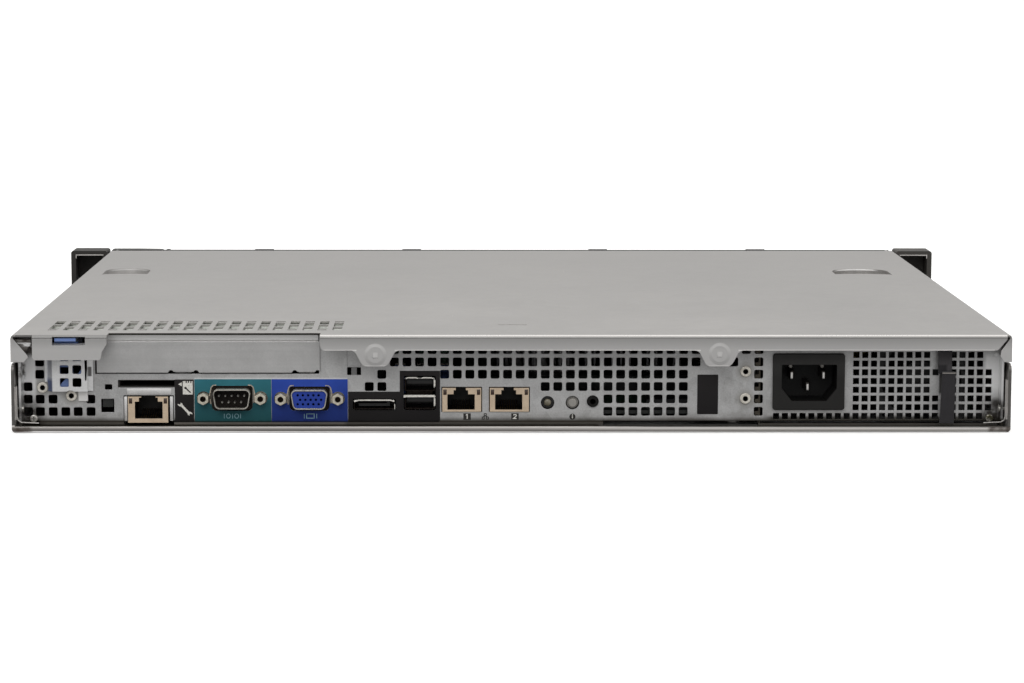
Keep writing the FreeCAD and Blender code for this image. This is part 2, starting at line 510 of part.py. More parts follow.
# ---------------------------------------------------------------- locator LED, button, jack
led = cyl_y(15.6, 11.2, 1.65, 12.0, 20.0)
led = led.makeFillet(1.1, [e for e in led.Edges if e.Closed and e.BoundBox.YMax < 12.1])
save("id_led", fuse(led, box(12.9, 18.3, 15.0, 22.0, BOARD_TOP, 14.2)))
btn = cyl_y(26.5, 11.2, 1.9, 10.9, 15.0)
btn = btn.makeFillet(0.4, [e for e in btn.Edges if e.Closed and e.BoundBox.YMax < 11.0])
save("id_button", fuse(btn, cyl_y(26.5, 11.2, 2.55, 13.2, 14.4), cyl_y(26.5, 11.2, 1.2, 14.0, 18.4)))
jk = fuse(cyl_y(35.4, 11.8, 2.3, 10.9, 22.0), box(32.3, 38.5, 14.2, 24.0, BOARD_TOP, 15.6))
save("id_jack", cut(jk, cyl_y(35.4, 11.8, 1.25, 10.0, 22.5)))

# ---------------------------------------------------------------- printed label plates
LAB = (PANEL_Y - 0.15, PANEL_Y)
lab_l = prism(rect(-147.4, -139.1, 2.9 + 0.4, 21.5, 0.3), "xz", *LAB)
lab_m = sheet([(-71.7, 3.3), (-31.5, 3.3), (-31.5, 25.3), (-49.1, 25.3), (-49.1, 16.1), (-71.7, 16.1)], [rect(-69.7, -50.9, 8.1, 13.0, 0.4), rect(-47.4, -33.4, 7.9, 23.1, 0.5)], "xz", *LAB)
lab_b = prism(rect(81.2, 90.3, 6.1, 23.6, 0.3), "xz", *LAB)
save("port_label_black", lab_l, lab_m, lab_b)
lab_t = cut(prism(rect(-138.8, -105.3, 3.3, 21.6), "xz", *LAB), *dsub_cut(SERIAL, 17.4, 10.9, 10, 15))
save("port_label_teal", lab_t)
lab_v = cut(prism(rect(-105.1, -71.9, 3.3, 21.6), "xz", *LAB), *dsub_cut(VIDEO, 17.0, 10.6, 10, 15))
save("port_label_blue", lab_v)

# ---------------------------------------------------------------- cord strap
up = prism([(12.0, 39.8), (8.2, 36.4, 2.0), (7.9, 24.4), (9.2, 24.4), (9.5, 35.7, 1.2), (12.0, 38.0)], "yz", 186.2, 192.3)
low = prism([(188.0, 25.6, 0.5), (193.9, 25.6, 0.5), (193.4, 2.7, 0.6), (187.0, 2.7, 0.6)], "xz", 6.7, 8.05)
save("cord_strap", fuse(up, low))

# ---------------------------------------------------------------- power inlet
inl = prism(rect(114.2, 145.7, 8.1, 33.0, 1.2), "xz", 10.2, 12.0)
inl = inl.makeFillet(0.5, [e for e in inl.Edges if e.BoundBox.YMax < 10.25])
cav = [(118.0, 28.2, 0.6), (118.0, 17.7, 0.4), (122.5, 12.1, 0.4), (137.7, 12.1, 0.4), (142.2, 17.7, 0.4), (142.2, 28.2, 0.6)]
inl = fuse(inl, prism(rect(116.4, 143.8, 10.2, 30.2, 0.8), "xz", 11.9, 30.0))
inl = cut(inl, prism(cav, "xz", 9.0, 27.0))
PINS = [(122.9, 23.1), (136.9, 23.1), (129.9, 18.0)]
inl = cut(inl, *[box(x - 1.05, x + 1.05, 26.0, 31.0, z - 2.05, z + 2.05) for x, z in PINS])
save("power_inlet", inl)
blades = []
for x, z in PINS:
    b = box(x - 1.0, x + 1.0, 15.0, 34.0, z - 2.0, z + 2.0)
    blades.append(b.makeFillet(0.7, [e for e in b.Edges if e.BoundBox.YMax < 15.01]))
save("power_inlet_pins", *blades)

# ---------------------------------------------------------------- power supply
pc = cut(box(108.2, 213.6, 13.4, 225.0, 1.0, 41.0), box(109.0, 212.8, 12.0, 224.2, 1.8, 40.2))
tabs = [box(106.6, 108.6, 13.4, 14.3, z, z + 1.6) for z in (5.6, 11.0, 16.4, 21.8, 27.2, 32.6)]
pc = fuse(pc, *tabs)
vent_f = [box(150 + 6 * i, 154 + 6 * i, 223, 227, 8 + 6 * k, 12 + 6 * k) for i in range(9) for k in range(5)]
pc = cut(pc, *vent_f, cyl_y(125.0, 18.0, 3.0, 223, 227))
save("psu_case", pc)
pb = [box(112.0, 210.0, 48.0, 218.0, 5.0, 6.6)]
for x, y, r, h in ((120, 70, 9, 26), (142, 70, 9, 26), (120, 92, 6, 22), (136, 92, 6, 22), (200, 120, 7, 24), (200, 140, 7, 24)):
    pb.append(cyl_z(x, y, r, 6.6, 6.6 + h))
pb += [
    box(155, 190, 105, 140, 6.6, 32), box(160, 185, 150, 180, 6.6, 28), box(150, 153, 100, 185, 6.6, 34),
    box(115, 145, 105, 135, 6.6, 27), box(115, 140, 150, 175, 6.6, 22), box(116, 134, 205, 216, 6.6, 24),
    box(160, 205, 54, 92, 6.6, 20),
] + [cyl_z(x, y, 1.6, 1.8, 5.0) for x in (115, 207) for y in (51, 215)]
save("psu_board", *pb)


def fan_frame(side, thick, bore, hub):
    """Square frame with a round throat, three struts and a fixed motor seat at the front face (y = thick)."""
    h = side / 2
    f = sheet(rr(0, 0, side, side, 2.2), [("c", 0, 0, bore)] + [("c", sx * (h - 3.4), sz * (h - 3.4), 1.6) for sx in (-1, 1) for sz in (-1, 1)], "xz", 0, thick)
    seat = cyl_y(0, 0, hub, thick - 3.0, thick)
    st = []
    for k in range(3):
        b = box(hub - 1.0, bore + 0.6, thick - 3.0, thick, -1.1, 1.1)
        b.rotate(V(0, 0, 0), V(0, 1, 0), 90 + 120 * k)
        st.append(b)
    return fuse(f, seat, *st)


def fan_rotor(tip, hub, y0, y1, n):
    r = fuse(cyl_y(0, 0, hub, y0, y1), cyl_y(0, 0, 1.5, y1 - 0.5, y1 + 0.15))
    r = r.makeFillet(1.2, [e for e in r.Edges if e.Closed and e.BoundBox.YMax < y0 + 0.01])
    mid = (y0 + y1) / 2
    bl = []
    for k in range(n):
        b = Part.makeBox(tip + 3 - hub + 1.5, (y1 - y0) * 1.05, 1.0, V(hub - 1.5, -(y1 - y0) * 1.05 / 2, -0.5))
        b.rotate(V(0, 0, 0), V(1, 0, 0), 38)
        b.translate(V(0, mid, 0))
        b.rotate(V(0, 0, 0), V(0, 1, 0), 360.0 * k / n)
        bl.append(b)
    lim = cyl_y(0, 0, tip, y0 + 1.0, y1 - 1.0)
    return fuse(r, *[b.common(lim) for b in bl])


def at(shape, x, y, z):
    s = shape.copy()
    s.translate(V(x, y, z))
    return s


pf = fan_frame(37.6, 28.0, 17.6, 9.2)
save("psu_fan_frame", at(pf, 180.0, 15.0, 21.0))
prt = fan_rotor(16.8, 8.6, 2.0, 24.5, 7)
save("psu_fan_rotor", at(prt, 180.0, 15.0, 21.0))

# ---------------------------------------------------------------- system fans
FAN_AT = [-130.0, -40.0, 50.0]
ff = fan_frame(FAN, FAN_T, 18.8, 9.4)
save("fan_frames", *[at(ff, x, 205.0, 21.0) for x in FAN_AT])
fr = fan_rotor(18.0, 8.8, 2.0, 24.5, 7)
for name, x in zip(("left", "middle", "right"), FAN_AT):
    save("fan_rotor_" + name, at(fr, x, 205.0, 21.0))

# ---------------------------------------------------------------- boards inside
save("motherboard", box(-140.0, 104.0, 16.0, 200.0, BOARD_Z, BOARD_TOP))
comps = [
    box(-118, -94, 110, 134, BOARD_TOP, 17), box(-128, -100, 60, 80, BOARD_TOP, 11), box(-12, 84, 70, 84, BOARD_TOP, 15),
    box(86, 98, 184, 196, BOARD_TOP, 20.6), box(60, 82, 30, 52, BOARD_TOP, 10), box(14, 40, 34, 58, BOARD_TOP, 10.5),
    box(23.3, 29.7, 20.0, 26.0, BOARD_TOP, 15.0), box(-134, -96, 176, 186, BOARD_TOP, 14), box(-20, -16, 40, 90, BOARD_TOP, 12),
] + [cyl_z(x, y, 3.2, BOARD_TOP, 17.5) for x in (90, 98) for y in (60, 72, 84, 96, 108)] + [cyl_z(-124 + 9 * i, 150, 3.0, BOARD_TOP, 16) for i in range(4)]
save("board_components", *comps)
fins = [box(-10 + 4.1 * i, -9.4 + 4.1 * i + 0.2, 95, 185, 11.9, 37.5) for i in range(22)]
save("cpu_heatsink", fuse(box(-10, 77, 95, 185, 9.6, 12.0), box(12, 54, 118, 160, BOARD_TOP, 9.7), *fins))
DIMM_X = (-60.0, -50.0, -40.0, -30.0)
save("memory_sockets", *[cut(fuse(box(x - 3, x + 3, 60, 197, BOARD_TOP, 12.5), box(x - 2.4, x + 2.4, 60, 62.6, 12.4, 22), box(x - 2.4, x + 2.4, 194.4, 197, 12.4, 22)), box(x - 0.8, x + 0.8, 61.4, 195.6, 9.0, 23)) for x in DIMM_X])
mods = []
for x in DIMM_X:
    m = [box(x - 0.65, x + 0.65, 61.8, 195.2, 9.2, 38.5)]
    for k in range(8):
        y = 68 + 15.2 * k
        m += [box(x + 0.6, x + 1.7, y, y + 11.5, 18, 34), box(x - 1.7, x - 0.6, y, y + 11.5, 18, 34)]
    mods.append(fuse(*m))
save("memory_modules", *mods)
save("riser_card", fuse(box(-78.9, -77.3, 44, 150, BOARD_TOP, 37.5), box(-88.0, -78.8, 52, 138, 24, 33)))
mc = [box(-180, -141, 13.3, 76, 14.4, 16.0), box(-172, -158, 52, 66, 16.0, 18.6), box(-176, -146, 68, 73, 16.0, 21)]
mc += [cyl_z(x, 72, 2.6, FLOOR_T, 14.4) for x in (-176, -145)]
mc.append(box(-179.0, -174.5, 13.3, 16.5, 9.2, 14.4))
save("management_card", *mc)


# ---------------------------------------------------------------- drives at the front
def bent_tube(pts, radii, r):
    edges, prev = [], V(*pts[0])
    for i in range(1, len(pts) - 1):
        p, a, b = V(*pts[i]), V(*pts[i - 1]), V(*pts[i + 1])
        u, w = (a - p).normalize(), (b - p).normalize()
        th = u.getAngle(w)
        t = radii[i - 1] / math.tan(th / 2)
        t1, t2 = p + u * t, p + w * t
        bis = (u + w).normalize()
        mid = p + bis * (radii[i - 1] / math.sin(th / 2) - radii[i - 1])
        edges += [Part.LineSegment(prev, t1).toShape(), Part.Arc(t1, mid, t2).toShape()]
        prev = t2
    edges.append(Part.LineSegment(prev, V(*pts[-1])).toShape())
    path = Part.Wire(edges)
    d = V(*pts[1]) - V(*pts[0])
    prof = Part.Wire([Part.Circle(V(*pts[0]), d, r).toShape()])
    tube = path.makePipeShell([prof], True, True)
    print("tube radii", radii, "length", path.Length, "volume ratio", tube.Volume / (math.pi * r * r * path.Length))
    return tube


BAYS = {"left": -157.75, "right": -50.75}
for name, xc in BAYS.items():
    hd = fuse(box(xc - 50.8, xc + 50.8, 244, 391, 4.4, 28.0), prism(rect(xc - 47.5, xc + 47.5, 248, 387, 6), "xy", 27.9, 30.4))
    hd = hd.makeFillet(1.5, [e for e in hd.Edges if e.BoundBox.ZLength > 20 and e.BoundBox.XLength < 0.1])
    save("hard_drive_" + name, hd)
    rails = [box(xc + s * 51.9 - 0.7, xc + s * 51.9 + 0.7, 246, 398, 3.4, 22) for s in (-1, 1)]
    pinsd = [Part.makeCylinder(1.4, 0.6, V(xc + s * 50.8, y, 11), V(s, 0, 0)) for s in (-1, 1) for y in (275, 345)]
    grille = [rr(xc - 44.0 + 5.6 * i, 13.4 + 5.0 * k, 4.4, 3.6, 0.8) for i in range(14) for k in range(3)]
    face = sheet(rect(xc - 52.6, xc + 52.6, 3.4, 30.4, 1.2), grille, "xz", 407.0, 411.2)
    skirt = sheet(rect(xc - 52.6, xc + 52.6, 3.4, 30.4, 1.2), [rect(xc - 51.4, xc + 51.4, 4.4, 29.4, 0.5)], "xz", 393.0, 407.0)
    body = fuse(face, skirt, prism(rect(xc + 33.3, xc + 51.0, 8.4, 27.6, 2.6), "xz", 398.0, 408.0))
    body = cut(body, prism(rect(xc + 34.5, xc + 49.8, 9.6, 26.4, 2.0), "xz", 399.2, 412.0))
    pull = box(xc + 36.8, xc + 47.7, 406.0, 410.4, 9.0, 12.6)
    save("drive_carrier_" + name, fuse(body, pull, *rails, *pinsd))

OX0, OX1, OZ0, OZ1 = 80.0, 208.0, 25.0, 38.0
oc = cut(box(OX0, OX1, 262, 390, OZ0, OZ1), box(OX0 + 1.0, OX1 - 1.0, 265, 391, OZ0 + 1.0, OZ1 - 1.0))
oc = cut(oc, cyl_z(144, 328, 9, 20, 26.5))
save("optical_drive", oc)
tray = box(OX0 + 3.0, OX1 - 3.0, 267.5, 396, 27.6, 34.5)
tray = cut(tray, cyl_z(144, 330, 60.3, 31.5, 40), cyl_z(144, 330, 17.5, 20, 40), box(136, 152, 268, 313, 20, 40))
spindle = fuse(cyl_z(144, 330, 12.5, 28.6, 30.4), cyl_z(144, 330, 7.2, 30.3, 33.4), box(142, 146, 312, 352, 27.6, 28.8))
bez = prism(rect(OX0 + 0.4, OX1 - 0.4, OZ0 + 0.4, OZ1 + 0.3, 0.8), "xz", 395.9, 411.0)
bez = cut(bez, box(188.4, 196.6, 405.5, 412, 27.9, 31.1), cyl_y(180.0, 29.5, 0.7, 404, 412), box(84, 186, 410.4, 412, 26.6, 27.0))
save("optical_tray", fuse(tray, spindle, bez))
eb = box(188.9, 196.1, 407.2, 411.5, 28.4, 30.6)
eb = eb.makeFillet(0.5, [e for e in eb.Edges if e.BoundBox.YMin > 411.4])
save("eject_button", eb)

# ---------------------------------------------------------------- fascia, ears, power button
FX, FZ = 219.8, 39.5


def hexh(x, z, r):
    return [(x + r * math.cos(math.radians(60 * k + 30)), z + r * math.sin(math.radians(60 * k + 30))) for k in range(6)]


fh = []
for xc in BAYS.values():
    fh.append(rect(xc - 53.1, xc + 53.1, 2.9, 30.9, 1.4))
fh.append(rect(OX0 - 0.1, OX1 + 0.1, OZ0 - 0.1, OZ1 + 0.8, 1.0))
for k in range(6):
    for i in range(11):
        x = 10.0 + 5.9 * i + (2.95 if k % 2 else 0)
        if x < 74:
            fh.append(hexh(x, 7.6 + 5.1 * k, 2.75))
for i in range(36):
    fh.append(hexh(-208.0 + 5.9 * i, 35.2, 2.6))
for k in range(3):
    for i in range(12):
        x = 84.5 + 5.9 * i + (2.95 if k % 2 else 0)
        fh.append(hexh(x, 6.9 + 5.1 * k, 2.75))
PWR = (196.0, 13.0)
fh.append(("c", PWR[0], PWR[1], 5.4))
for x, z in FUSB:
    fh.append(rr(x, z, 13.9, 6.6, 0.6))
for k in range(3):
    fh.append(("c", 210.0, 8.0 + 5.0 * k, 1.0))
fas = sheet(rect(-FX, FX, 1.0, FZ, 1.6), fh, "xz", 407.8, 411.0)
rim = sheet(rect(-FX, FX, 1.0, FZ, 1.6), [rect(-FX + 1.0, FX - 1.0, 1.9, FZ - 0.7, 0.8)], "xz", 397.4, 408.0)
roof = box(-214.2, 214.2, COVER_END - 4.0, 400.0, FZ - 0.7, FZ)
bumps = [box(x - 5.2, x + 5.2, 399.0, 408.0, FZ - 0.2, FZ + 0.7) for x in (-134, -51, 54, 143)]
posts = [box(x - 3, x + 3, 394.0, 407.9, 1.5, 4.2) for x in (-213.8, 5.6, 77.0, 213.8)]
save("front_panel", fuse(fas, rim, roof, *bumps, *posts))
pwb = cyl_y(PWR[0], PWR[1], 4.8, 403.0, 411.6)
pwb = pwb.makeFillet(0.6, [e for e in pwb.Edges if e.Closed and e.BoundBox.YMin > 411.5])
save("power_button", fuse(pwb, cyl_y(PWR[0], PWR[1], 6.2, 402.0, 404.0)))

ears = []
for s in (-1, 1):
    shell = cut(
        prism(rect(221.2, EAR_SPAN / 2, 0.9, 40.4, 1.4), "xz", EAR_Y, DEPTH),
        prism(rect(223.9, EAR_SPAN / 2 - 2.7, 3.6, 37.7, 0.6), "xz", EAR_Y - 1, DEPTH - 3.4),
        prism(rr(EAR_HOLE_SPAN / 2, 21.2, 12.2, 20.6, 6.0), "xz", EAR_Y, DEPTH - 1.8),
        cyl_y(EAR_HOLE_SPAN / 2, 21.2, 3.5, EAR_Y, DEPTH + 1),
    )
    web = fuse(box(217.0, 223.9, EAR_Y, 397.2, 4.0, 27.5), box(217.0, 218.6, 377.0, EAR_Y + 1, 4.0, 27.5))
    e = fuse(shell, cut(web, *[Part.makeCylinder(1.7, 6, V(215, y, z), V(1, 0, 0)) for y in (382, 389) for z in (9, 22)]))
    fe = [g for g in e.Edges if abs(g.BoundBox.YMin - DEPTH) < 1e-4 and abs(g.BoundBox.YMax - DEPTH) < 1e-4 and (abs(g.BoundBox.XMax - EAR_SPAN / 2) < 2 or abs(g.BoundBox.XMin - 221.2) < 2 or g.BoundBox.XLength > 12)]
    e = e.makeFillet(0.8, fe)
    if s < 0:
        e = e.mirror(V(0, 0, 0), V(1, 0, 0))
    ears.append(e)
save("rack_ears", *ears)

# ---------------------------------------------------------------- power harness
save("power_harness", bent_tube([(125.0, 225.0, 18.0), (125.0, 244.0, 18.0), (92.0, 244.0, 14.0), (92.0, 196.0, 14.0)], [14.0, 14.0], 2.9))
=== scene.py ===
import math

import bmesh
import bpy
from mathutils import Matrix, Vector


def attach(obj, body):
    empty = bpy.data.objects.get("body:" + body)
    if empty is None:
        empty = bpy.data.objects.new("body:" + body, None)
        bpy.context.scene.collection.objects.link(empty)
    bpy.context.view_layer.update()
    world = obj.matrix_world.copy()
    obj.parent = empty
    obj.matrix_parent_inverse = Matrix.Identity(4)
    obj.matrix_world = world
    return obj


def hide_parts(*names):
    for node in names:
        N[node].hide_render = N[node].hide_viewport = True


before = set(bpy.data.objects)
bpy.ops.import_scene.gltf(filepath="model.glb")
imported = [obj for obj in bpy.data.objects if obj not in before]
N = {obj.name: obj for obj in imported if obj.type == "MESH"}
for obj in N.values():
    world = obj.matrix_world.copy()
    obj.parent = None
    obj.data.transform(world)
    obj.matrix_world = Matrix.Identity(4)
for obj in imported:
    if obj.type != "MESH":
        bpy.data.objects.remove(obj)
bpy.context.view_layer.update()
MID = 206.0  # mm from the rear plane to the origin
MM = 0.001


def P(x, y, z):
    """A point given in mm, y forward of the rear plane, as metres in the row frame."""
    return Vector((x * MM, (y - MID) * MM, z * MM))


# ---------------------------------------------------------------- materials
def lin(r, g, b):
    return tuple((c / 255 / 12.92) if c <= 10.3 else ((c / 255 + 0.055) / 1.055) ** 2.4 for c in (r, g, b)) + (1.0,)


class Mat:
    """A principled material with a few short ways to add texture nodes. Coordinates are the row frame's metres."""

    def __init__(self, name, metallic=0.0, rough=0.5, **sockets):
        self.m = bpy.data.materials.new(name)
        self.m.use_nodes = True
        self.t = self.m.node_tree
        self.t.nodes.clear()
        self.out = self.t.nodes.new("ShaderNodeOutputMaterial")
        self.b = self.t.nodes.new("ShaderNodeBsdfPrincipled")
        self.t.links.new(self.b.outputs["BSDF"], self.out.inputs["Surface"])
        self.b.inputs["Metallic"].default_value = metallic
        self.b.inputs["Roughness"].default_value = rough
        for k, v in sockets.items():
            self.b.inputs[k.replace("_", " ")].default_value = v
        self.co = self.t.nodes.new("ShaderNodeTexCoord").outputs["Object"]

    def put(self, a, b):
        if isinstance(a, (int, float)):
            b.default_value = a
        elif isinstance(a, tuple):
            b.default_value = a
        else:
            self.t.links.new(a, b)

    def mapped(self, scale=(1, 1, 1), rot=(0, 0, 0), loc=(0, 0, 0)):
        n = self.t.nodes.new("ShaderNodeMapping")
        n.inputs["Scale"].default_value = scale
        n.inputs["Rotation"].default_value = rot
        n.inputs["Location"].default_value = loc
        self.t.links.new(self.co, n.inputs["Vector"])
        return n.outputs["Vector"]

    def noise(self, scale, detail=3.0, rough=0.55, vec=None, distort=0.0):
        n = self.t.nodes.new("ShaderNodeTexNoise")
        n.inputs["Scale"].default_value = scale
        n.inputs["Detail"].default_value = detail
        n.inputs["Roughness"].default_value = rough
        n.inputs["Distortion"].default_value = distort
        self.t.links.new(vec or self.co, n.inputs["Vector"])
        return n.outputs["Fac"]

    def voronoi(self, scale, vec=None, feature="F1", out="Distance", metric="EUCLIDEAN", rand=1.0):
        n = self.t.nodes.new("ShaderNodeTexVoronoi")
        n.feature = feature
        if feature not in ("DISTANCE_TO_EDGE", "N_SPHERE_RADIUS"):
            n.distance = metric
        n.inputs["Scale"].default_value = scale
        n.inputs["Randomness"].default_value = rand
        self.t.links.new(vec or self.co, n.inputs["Vector"])
        return n.outputs[out]

    def wave(self, scale, vec=None, axis="X", distort=0.0, detail=1.0, profile="SIN"):
        n = self.t.nodes.new("ShaderNodeTexWave")
        n.bands_direction = axis
        n.wave_profile = profile
        n.inputs["Scale"].default_value = scale
        n.inputs["Distortion"].default_value = distort
        n.inputs["Detail"].default_value = detail
        self.t.links.new(vec or self.co, n.inputs["Vector"])
        return n.outputs["Fac"]

    def axis(self, which):
        n = self.t.nodes.new("ShaderNodeSeparateXYZ")
        self.t.links.new(self.co, n.inputs[0])
        return n.outputs[which]

    def island(self):
        return self.t.nodes.new("ShaderNodeNewGeometry").outputs["Random Per Island"]

    def ramp(self, fac, *stops, constant=False):
        n = self.t.nodes.new("ShaderNodeValToRGB")
        e = n.color_ramp.elements
        if constant:
            n.color_ramp.interpolation = "CONSTANT"
        while len(e) < len(stops):
            e.new(1.0)
        for k, (p, c) in enumerate(stops):
            e[k].position = p
            e[k].color = c if isinstance(c, tuple) else (c, c, c, 1.0)
        self.t.links.new(fac, n.inputs["Fac"])
        return n.outputs["Color"]

    def math(self, op, a, b=None, clamp=False):
        n = self.t.nodes.new("ShaderNodeMath")
        n.operation = op
        n.use_clamp = clamp
        self.put(a, n.inputs[0])
        if b is not None:
            self.put(b, n.inputs[1])
        return n.outputs[0]

    def span(self, v, a, b, c, d):
        n = self.t.nodes.new("ShaderNodeMapRange")
        self.put(v, n.inputs["Value"])
        for k, x in zip(("From Min", "From Max", "To Min", "To Max"), (a, b, c, d)):
            n.inputs[k].default_value = x
        return n.outputs["Result"]

    def mix(self, fac, a, b, blend="MIX"):
        n = self.t.nodes.new("ShaderNodeMix")
        n.data_type = "RGBA"
        n.blend_type = blend
        self.put(fac, n.inputs[0])
        self.put(a, n.inputs[6])
        self.put(b, n.inputs[7])
        return n.outputs[2]

    def edge(self, radius):
        """About 1 on outside edges and corners, 0 on flats."""
        bev = self.t.nodes.new("ShaderNodeBevel")
        bev.samples = 4
        bev.inputs["Radius"].default_value = radius
        geo = self.t.nodes.new("ShaderNodeNewGeometry")
        dot = self.t.nodes.new("ShaderNodeVectorMath")
        dot.operation = "DOT_PRODUCT"
        self.t.links.new(bev.outputs[0], dot.inputs[0])
        self.t.links.new(geo.outputs["Normal"], dot.inputs[1])
        return self.span(dot.outputs["Value"], 0.98, 0.75, 0.0, 1.0)

    def corner(self, dist):
        """1 in the open, lower in crevices."""
        n = self.t.nodes.new("ShaderNodeAmbientOcclusion")
        n.samples = 6
        n.inputs["Distance"].default_value = dist
        return n.outputs["AO"]

    def round(self, radius):
        """Normals eased over sharp edges, as a press or a deburring leaves them."""
        n = self.t.nodes.new("ShaderNodeBevel")
        n.samples = 4
        n.inputs["Radius"].default_value = radius
        return n.outputs[0]

    def band(self, which, a, b, soft=0.04):
        """1 between a and b along an axis, in mm (y forward of the rear plane)."""
        o = MID if which == "Y" else 0.0
        v = self.axis(which)
        up = self.span(v, (a - soft - o) * MM, (a + soft - o) * MM, 0.0, 1.0)
        dn = self.span(v, (b - soft - o) * MM, (b + soft - o) * MM, 1.0, 0.0)
        return self.math("MULTIPLY", up, dn)

    def disc(self, x, z, r, soft=0.08):
        """1 within r mm of an axis along y through (x, z)."""
        flat = self.mapped(scale=(1, 0, 1))
        n = self.t.nodes.new("ShaderNodeVectorMath")
        n.operation = "DISTANCE"
        self.t.links.new(flat, n.inputs[0])
        n.inputs[1].default_value = (x * MM, 0.0, z * MM)
        return self.span(n.outputs["Value"], (r - soft) * MM, (r + soft) * MM, 1.0, 0.0)

    def any(self, *masks):
        v = masks[0]
        for m in masks[1:]:
            v = self.math("MAXIMUM", v, m)
        return v

    def near(self, x, reach, soft=0.04):
        return self.band("X", x - reach, x + reach, soft)

    def bump(self, height, strength, dist, prev=None):
        n = self.t.nodes.new("ShaderNodeBump")
        n.inputs["Strength"].default_value = strength
        n.inputs["Distance"].default_value = dist
        self.put(height, n.inputs["Height"])
        if prev is not None:
            self.t.links.new(prev, n.inputs["Normal"])
        return n.outputs["Normal"]

    def done(self, color=None, rough=None, normal=None):
        if color is not None:
            self.put(color, self.b.inputs["Base Color"])
        if rough is not None:
            self.put(rough, self.b.inputs["Roughness"])
        if normal is not None:
            self.t.links.new(normal, self.b.inputs["Normal"])
        return self.m


def steel(name, dark, light, metallic=0.7, rough=(0.32, 0.46), along=None, smudge=0.3, seed=0.0, soft=0.22):
    """Galvanised sheet: fine mottling, faint crystal flakes, slow clouds, stains and a few hairline scratches; rolling streaks if along is given."""
    k = Mat(name, metallic=metallic)
    fine = k.noise(1500, 4, 0.6, k.mapped(loc=(seed, 0, 0)))
    flake = k.voronoi(230, k.mapped(loc=(0, seed, 0)), out="Color")
    slow = k.noise(9, 3, 0.5, k.mapped(loc=(seed, 0.3, 0.1)))
    blot = k.noise(60, 4, 0.6, k.mapped(loc=(0.2, seed, 0)))
    v = k.math("ADD", k.math("MULTIPLY", fine, 0.34), k.math("MULTIPLY", flake, 0.10))
    v = k.math("ADD", v, k.math("MULTIPLY", slow, 0.34))
    v = k.math("ADD", v, k.math("MULTIPLY", blot, 0.22))
    h = fine
    if along:
        st = {"x": (7, 420, 420), "y": (420, 7, 420), "z": (420, 420, 7)}[along]
        grain = k.noise(1.0, 3, 0.6, k.mapped(scale=st, loc=(seed, seed, 0)))
        v = k.math("ADD", k.math("MULTIPLY", v, 0.72), k.math("MULTIPLY", grain, 0.28))
        h = k.math("ADD", k.math("MULTIPLY", fine, 0.5), k.math("MULTIPLY", grain, 0.5))
    col = k.ramp(v, (0.36, dark), (0.64, light))
    # hairline scratches at two angles
    sa = k.noise(1.0, 2, 0.5, k.mapped(scale=(16, 900, 900), rot=(0.0, 0.5, 0.62), loc=(seed, 0, 0)))
    sb = k.noise(1.0, 2, 0.5, k.mapped(scale=(900, 22, 900), rot=(0.4, 0.0, 0.35), loc=(0, seed, 0)))
    sc = k.math("MAXIMUM", k.span(sa, 0.73, 0.76, 0, 1), k.span(sb, 0.74, 0.77, 0, 1))
    sc = k.math("MULTIPLY", sc, k.span(slow, 0.45, 0.65, 0.0, 0.5), clamp=True)
    col = k.mix(sc, col, tuple(min(1.0, c * 1.3) for c in light[:3]) + (1.0,))
    # handling smudges
    sm = k.math("MULTIPLY", k.span(k.noise(22, 5, 0.62, k.mapped(loc=(seed, 1.7, 0))), 0.52, 0.72, 0, 1), smudge, clamp=True)
    col = k.mix(sm, col, tuple(c * 0.84 for c in dark[:3]) + (1.0,))
    r = k.span(k.math("ADD", k.math("MULTIPLY", fine, 0.5), k.math("MULTIPLY", slow, 0.5)), 0.35, 0.65, rough[0], rough[1])
    return k, col, r, k.bump(h, 0.10, 0.00010, k.round(soft * MM))


def plastic(name, rgb, rough=0.5, grain=2600, depth=0.10, var=0.16, gloss=0.5, coat=0.0):
    """Moulded plastic with a fine spark-eroded grain."""
    k = Mat(name, Specular_IOR_Level=gloss, Coat_Weight=coat, Coat_Roughness=0.15)
    g = k.voronoi(grain, feature="SMOOTH_F1")
    n = k.noise(120, 4, 0.55)
    a = tuple(c * (1 - var) for c in rgb[:3]) + (1.0,)
    b = tuple(min(1.0, c * (1 + var)) for c in rgb[:3]) + (1.0,)
    col = k.ramp(k.math("ADD", k.math("MULTIPLY", n, 0.7), k.math("MULTIPLY", g, 0.3)), (0.3, a), (0.7, b))
    ro = k.span(k.math("ADD", n, g), 0.4, 1.2, rough - 0.07, rough + 0.09)
    return k.done(col, ro, k.bump(g, depth, 0.00012, k.bump(n, 0.05, 0.0004)))


def plated(name, rgb, rough=0.24, warm=0.5):
    """Nickel-plated stamping: satin with drawing lines, tarnish in the corners."""
    k = Mat(name, metallic=1.0)
    n = k.noise(700, 4, 0.6)
    d = k.noise(1.0, 3, 0.5, k.mapped(scale=(300, 30, 1800)))
    a = tuple(c * 0.78 for c in rgb[:3]) + (1.0,)
    col = k.ramp(k.math("ADD", k.math("MULTIPLY", n, 0.5), k.math("MULTIPLY", d, 0.5)), (0.35, a), (0.62, rgb))
    col = k.mix(k.span(k.corner(0.0015), 0.2, 0.8, warm, 0.0), col, (0.10, 0.085, 0.06, 1.0))
    ro = k.span(k.math("ADD", n, d), 0.7, 1.3, rough - 0.08, rough + 0.14)
    return k.done(col, ro, k.bump(k.math("ADD", n, d), 0.08, 0.0001))


